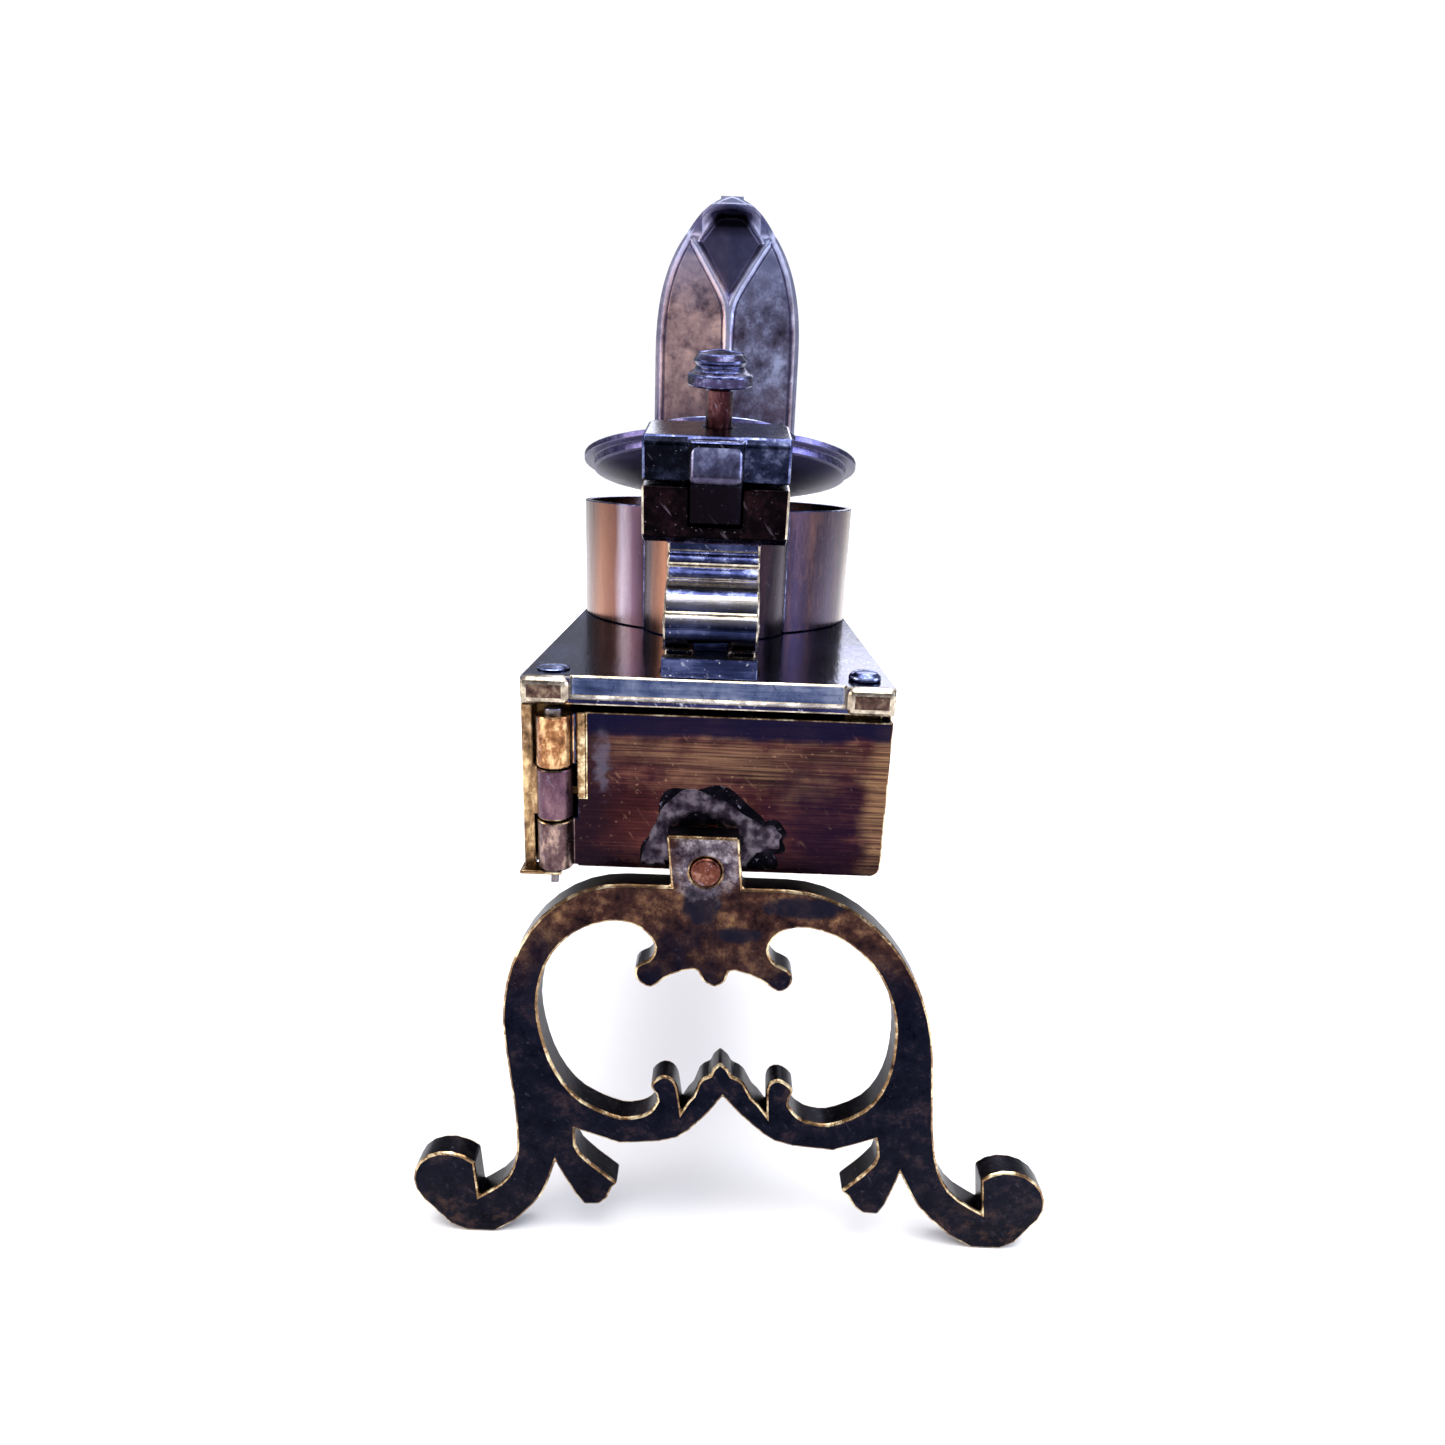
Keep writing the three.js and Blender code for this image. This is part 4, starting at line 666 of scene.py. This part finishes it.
# Painted reflections: blue-grey on the right and towards the top, brown-pink towards the foot.
colour = mixed(tree, across(tree, place, 0, -5.0, -3.4, 0.0, 0.95, 2.0, 2.0), colour, reflection_greys.outputs[0])
colour = mixed(tree, across(tree, place, 2, 105.0, 113.0, 0.0, 0.6, 6.0), colour, "8890b4")
colour = mixed(tree, across(tree, place, 2, 99.0, 94.0, 0.0, 0.4, 6.0), colour, "5c4850")
# The relief tones give pale ridges and dark hollows; towards the curl the hollow runs to near-black, a
# painted shadow.
drawn = put(tree, "ShaderNodeAttribute", {"attribute_name": "relief"}).outputs["Fac"]
hollows = put(tree, "ShaderNodeMapRange", inputs={0: drawn, 1: -0.05, 2: -0.45, 3: 0.0, 4: 0.85})
shadow_depths = put(tree, "ShaderNodeMapRange", inputs={0: drawn, 1: -0.7, 2: -1.0, 3: 0.0, 4: 0.97})
ridges = put(tree, "ShaderNodeMapRange", inputs={0: drawn, 1: 0.15, 2: 0.9, 3: 0.0, 4: 0.6})
colour = mixed(tree, hollows.outputs[0], colour, "34304e")
colour = mixed(tree, shadow_depths.outputs[0], colour, "050409")
colour = mixed(tree, ridges.outputs[0], colour, "aab0cc")
tree.links.new(colour, shader.inputs["Base Color"])

# All in mm: where it stands, its size, and how far up it the middle ridge forks.
leaf_x = -3.97
leaf_foot = 91.95
leaf_half = 8.68
leaf_tall = 25.5
leaf_face = -32.7
leaf_thick = 1.3
fork_up = 14.6


def smooth_step(value):
    value = min(1.0, max(0.0, value))
    return value * value * (3 - 2 * value)


def half_width(up):
    """Half of the leaf's width in mm at a height: straight sides, then a pointed arch."""
    share = min(1.0, max(0.0, (up - 8) / (leaf_tall - 8)))
    return leaf_half * (1 - share ** 2.6) ** 0.62


def leaf_relief(aside, up):
    """How the leaf is chased at a place, from -1 in the hollow to 1 on the ridges, and its height in mm.
    One ridge stands up the middle and forks into two arms, with a hollow between them."""
    rim = half_width(up) - aside
    rise = 0.65 * (up - fork_up)
    arm = (rise + math.sqrt(rise * rise + 0.5)) / 2
    reach = min(arm, 4.4 - 0.8 * (up - 21.3))
    on_arm = smooth_step((22.0 - up) / 1.2)
    ridge = smooth_step(1 - (abs(aside - arm) - 0.1) / 0.42) * on_arm
    raised = max(smooth_step(1 - (rim - 0.35) / 0.4), ridge)
    hollow = 0.0
    if up > 15.0:
        hollow = smooth_step((reach - 0.4 - aside) / 0.7) * smooth_step((24.2 - up) / 0.3)
    groove = 0.0
    if aside > arm + 0.2:
        by_rim = smooth_step(1 - abs(rim - 1.0) / 0.24)
        groove = max(by_rim, smooth_step(1 - abs(aside - arm - 0.62) / 0.24) * on_arm)
    raised = max(raised, 0.6 * smooth_step((up - 21.6) / 1.2) * (1 - hollow))
    height = 0.24 * raised - 0.6 * hollow - 0.14 * groove
    # The hollow is painted darker towards the curl above it, as shade.
    darkness = 0.5 + 0.5 * smooth_step((up - 20.5) / 3.2)
    return max(-1.0, raised * 0.8 - hollow * darkness - 0.55 * groove), height


bpy.ops.mesh.primitive_grid_add(x_subdivisions=96, y_subdivisions=150, size=2)
leaf = bpy.context.object
leaf.name = "striking_leaf"
apply(leaf, "SOLIDIFY", thickness=0.2, offset=1.0)
relief_values = []
for vertex in leaf.data.vertices:
    front = vertex.co.z < 0.1
    up = leaf_tall * (1 - (1 - (vertex.co.y + 1) / 2) ** 1.25)
    half = max(half_width(up), 1.3 * smooth_step((up - 24.5) / 0.5))
    offset = vertex.co.x * half
    aside = abs(offset)
    tone, height = leaf_relief(aside, up) if front else (0.5, 0.0)
    # The tip curls forward as a round lip, later in the middle, leaving a hollow beneath it that is painted
    # dark as shadow, while the lip is painted pale as a highlight.
    start, full = 23.4, 25.5
    if front:
        start, full = 24.0 - 2.2 * min(1.0, (aside / 3.4) ** 2), 24.8
    curl = smooth_step((up - start) / (full - start))
    depth = -2.15 * curl - height * (1 - 0.4 * curl) if front else leaf_thick - 1.9 * curl
    shadow = 0.0
    # Painted shadow under the lip, and a painted highlight on the lip itself.
    if up > 23.0:
        shadow = smooth_step((2.9 - aside) / 0.8) * smooth_step((0.75 - curl) / 0.3)
    lip = 0.4 + 0.6 * smooth_step((curl - 0.7) / 0.2)
    if front:
        tone = tone * (1 - curl) + lip * curl * (1 - shadow) - shadow * smooth_step((up - 23.0) / 0.8)
    relief_values.append(tone)
    vertex.co = Vector((leaf_x + offset, leaf_face + depth, leaf_foot + up)) * MM
shades = leaf.data.attributes.new("relief", "FLOAT", "POINT")
shades.data.foreach_set("value", relief_values)
only(leaf)
bpy.ops.object.mode_set(mode="EDIT")
bpy.ops.mesh.select_all(action="SELECT")
bpy.ops.mesh.normals_make_consistent(inside=False)
bpy.ops.object.mode_set(mode="OBJECT")
bpy.ops.object.shade_smooth_by_angle(angle=math.radians(50))
dressed(leaf, "lid", "blued_steel", leaf_steel)

# The leaf's foot runs back over the lid under its two rivets.
foot_plate = worked("leaf_foot", "striking_steel", lid_brass, soft_edge, "lid", "blued_steel", 0.2, 2, 28)
only(foot_plate)
bpy.ops.object.mode_set(mode="EDIT")
bpy.ops.mesh.select_all(action="SELECT")
bpy.ops.mesh.bisect(plane_co=(0, (leaf_face + 0.6) * MM, 0), plane_no=(0, -1, 0), clear_outer=True,
                    use_fill=True)
bpy.ops.mesh.select_all(action="SELECT")
bpy.ops.mesh.bisect(plane_co=(0, 0, 94.5 * MM), plane_no=(0, 0, 1), clear_outer=True, use_fill=True)
bpy.ops.object.mode_set(mode="OBJECT")
for number in (1, 2):
    worked(f"leaf_rivet_{number}", f"steel_rivet_{number}", grey_steel, pale_edge, "lid", "grey_steel", 0.1)

# ---- Butt: oiled walnut with a brass strap, cap and screws ----
# The wood is carved with its grain along the grip, and the cap is a brass casting screwed to its end.
walnut, tree, shader = new_material("oiled_walnut")
place = put(tree, "ShaderNodeTexCoord").outputs["Object"]
grip_slope = math.radians(-52)
bent = put(tree, "ShaderNodeMapping", {"vector_type": "TEXTURE"},
           {0: place, 2: (grip_slope, 0, 0), 3: (1, 7, 1)})
grain = put(tree, "ShaderNodeTexNoise", inputs={
    "Vector": bent.outputs[0], "Scale": 1 / (4 * MM), "Detail": 7, "Roughness": 0.6, "Distortion": 0.35})
tone = put(tree, "ShaderNodeValToRGB", inputs={0: grain.outputs[0]},
           stops=[(0.3, "1c0d06"), (0.46, "3d2010"), (0.56, "5c3519"), (0.72, "784a26")])
pores = put(tree, "ShaderNodeTexNoise", inputs={
    "Vector": put(tree, "ShaderNodeMapping", {"vector_type": "TEXTURE"},
                  {0: place, 2: (grip_slope, 0, 0), 3: (1, 9, 1)}).outputs[0],
    "Scale": 1 / (0.5 * MM), "Detail": 2})
holes = put(tree, "ShaderNodeMapRange", inputs={0: pores.outputs[0], 1: 0.6, 2: 0.7, 3: 0.0, 4: 0.6})
colour = put(tree, "ShaderNodeMix", {"data_type": "RGBA"},
             {0: holes.outputs[0], 6: tone.outputs[0], 7: linear("120804")})
relief = put(tree, "ShaderNodeBump", {"invert": True}, {
    "Strength": 0.25, "Distance": 0.15 * MM, "Height": pores.outputs[0]})
tree.links.new(colour.outputs[2], shader.inputs["Base Color"])
tree.links.new(relief.outputs[0], shader.inputs["Normal"])
shader.inputs["Roughness"].default_value = 0.38
shader.inputs["IOR"].default_value = 1.5
shader.inputs["Coat Weight"].default_value = 0.25
shader.inputs["Coat Roughness"].default_value = 0.25
worked("walnut_butt", "butt_wood", walnut, walnut, "case", "walnut", 0.4, 2, 40)
worked("butt_strap_brass", "butt_strap", box_brass, rubbed_gold, "case", "dark_brass", 0.25)
cap_brass = aged_metal("worn_cap_brass", "2c1e18", "6a4c30", "a88452", patch=6, seed=19.0)[0]
worked("butt_cap_cast", "butt_cap", cap_brass, rubbed_gold, "case", "worn_brass", 0.25, 2, 40)
for name, node, slot in [
    ("strap_screw_head_1", "strap_screw_1", "blued_steel"),
    ("strap_screw_head_2", "strap_screw_2", "blued_steel"),
    ("cap_screw_head", "cap_screw", "grey_steel"),
]:
    worked(name, node, blue_steel, pale_edge, "case", slot, 0.12)

# ---- Trigger guard: brass strip bent round the trigger and screwed under the box ----
# Its bow is rubbed to gold along the edges, where a finger goes in and out.
worked("guard_bow", "trigger_guard", box_brass, rubbed_gold, "case", "worn_brass", 0.3, 3)
for number in (1, 2):
    worked(f"guard_screw_head_{number}", f"guard_screw_{number}", grey_steel, pale_edge, "case",
           "grey_steel", 0.12)
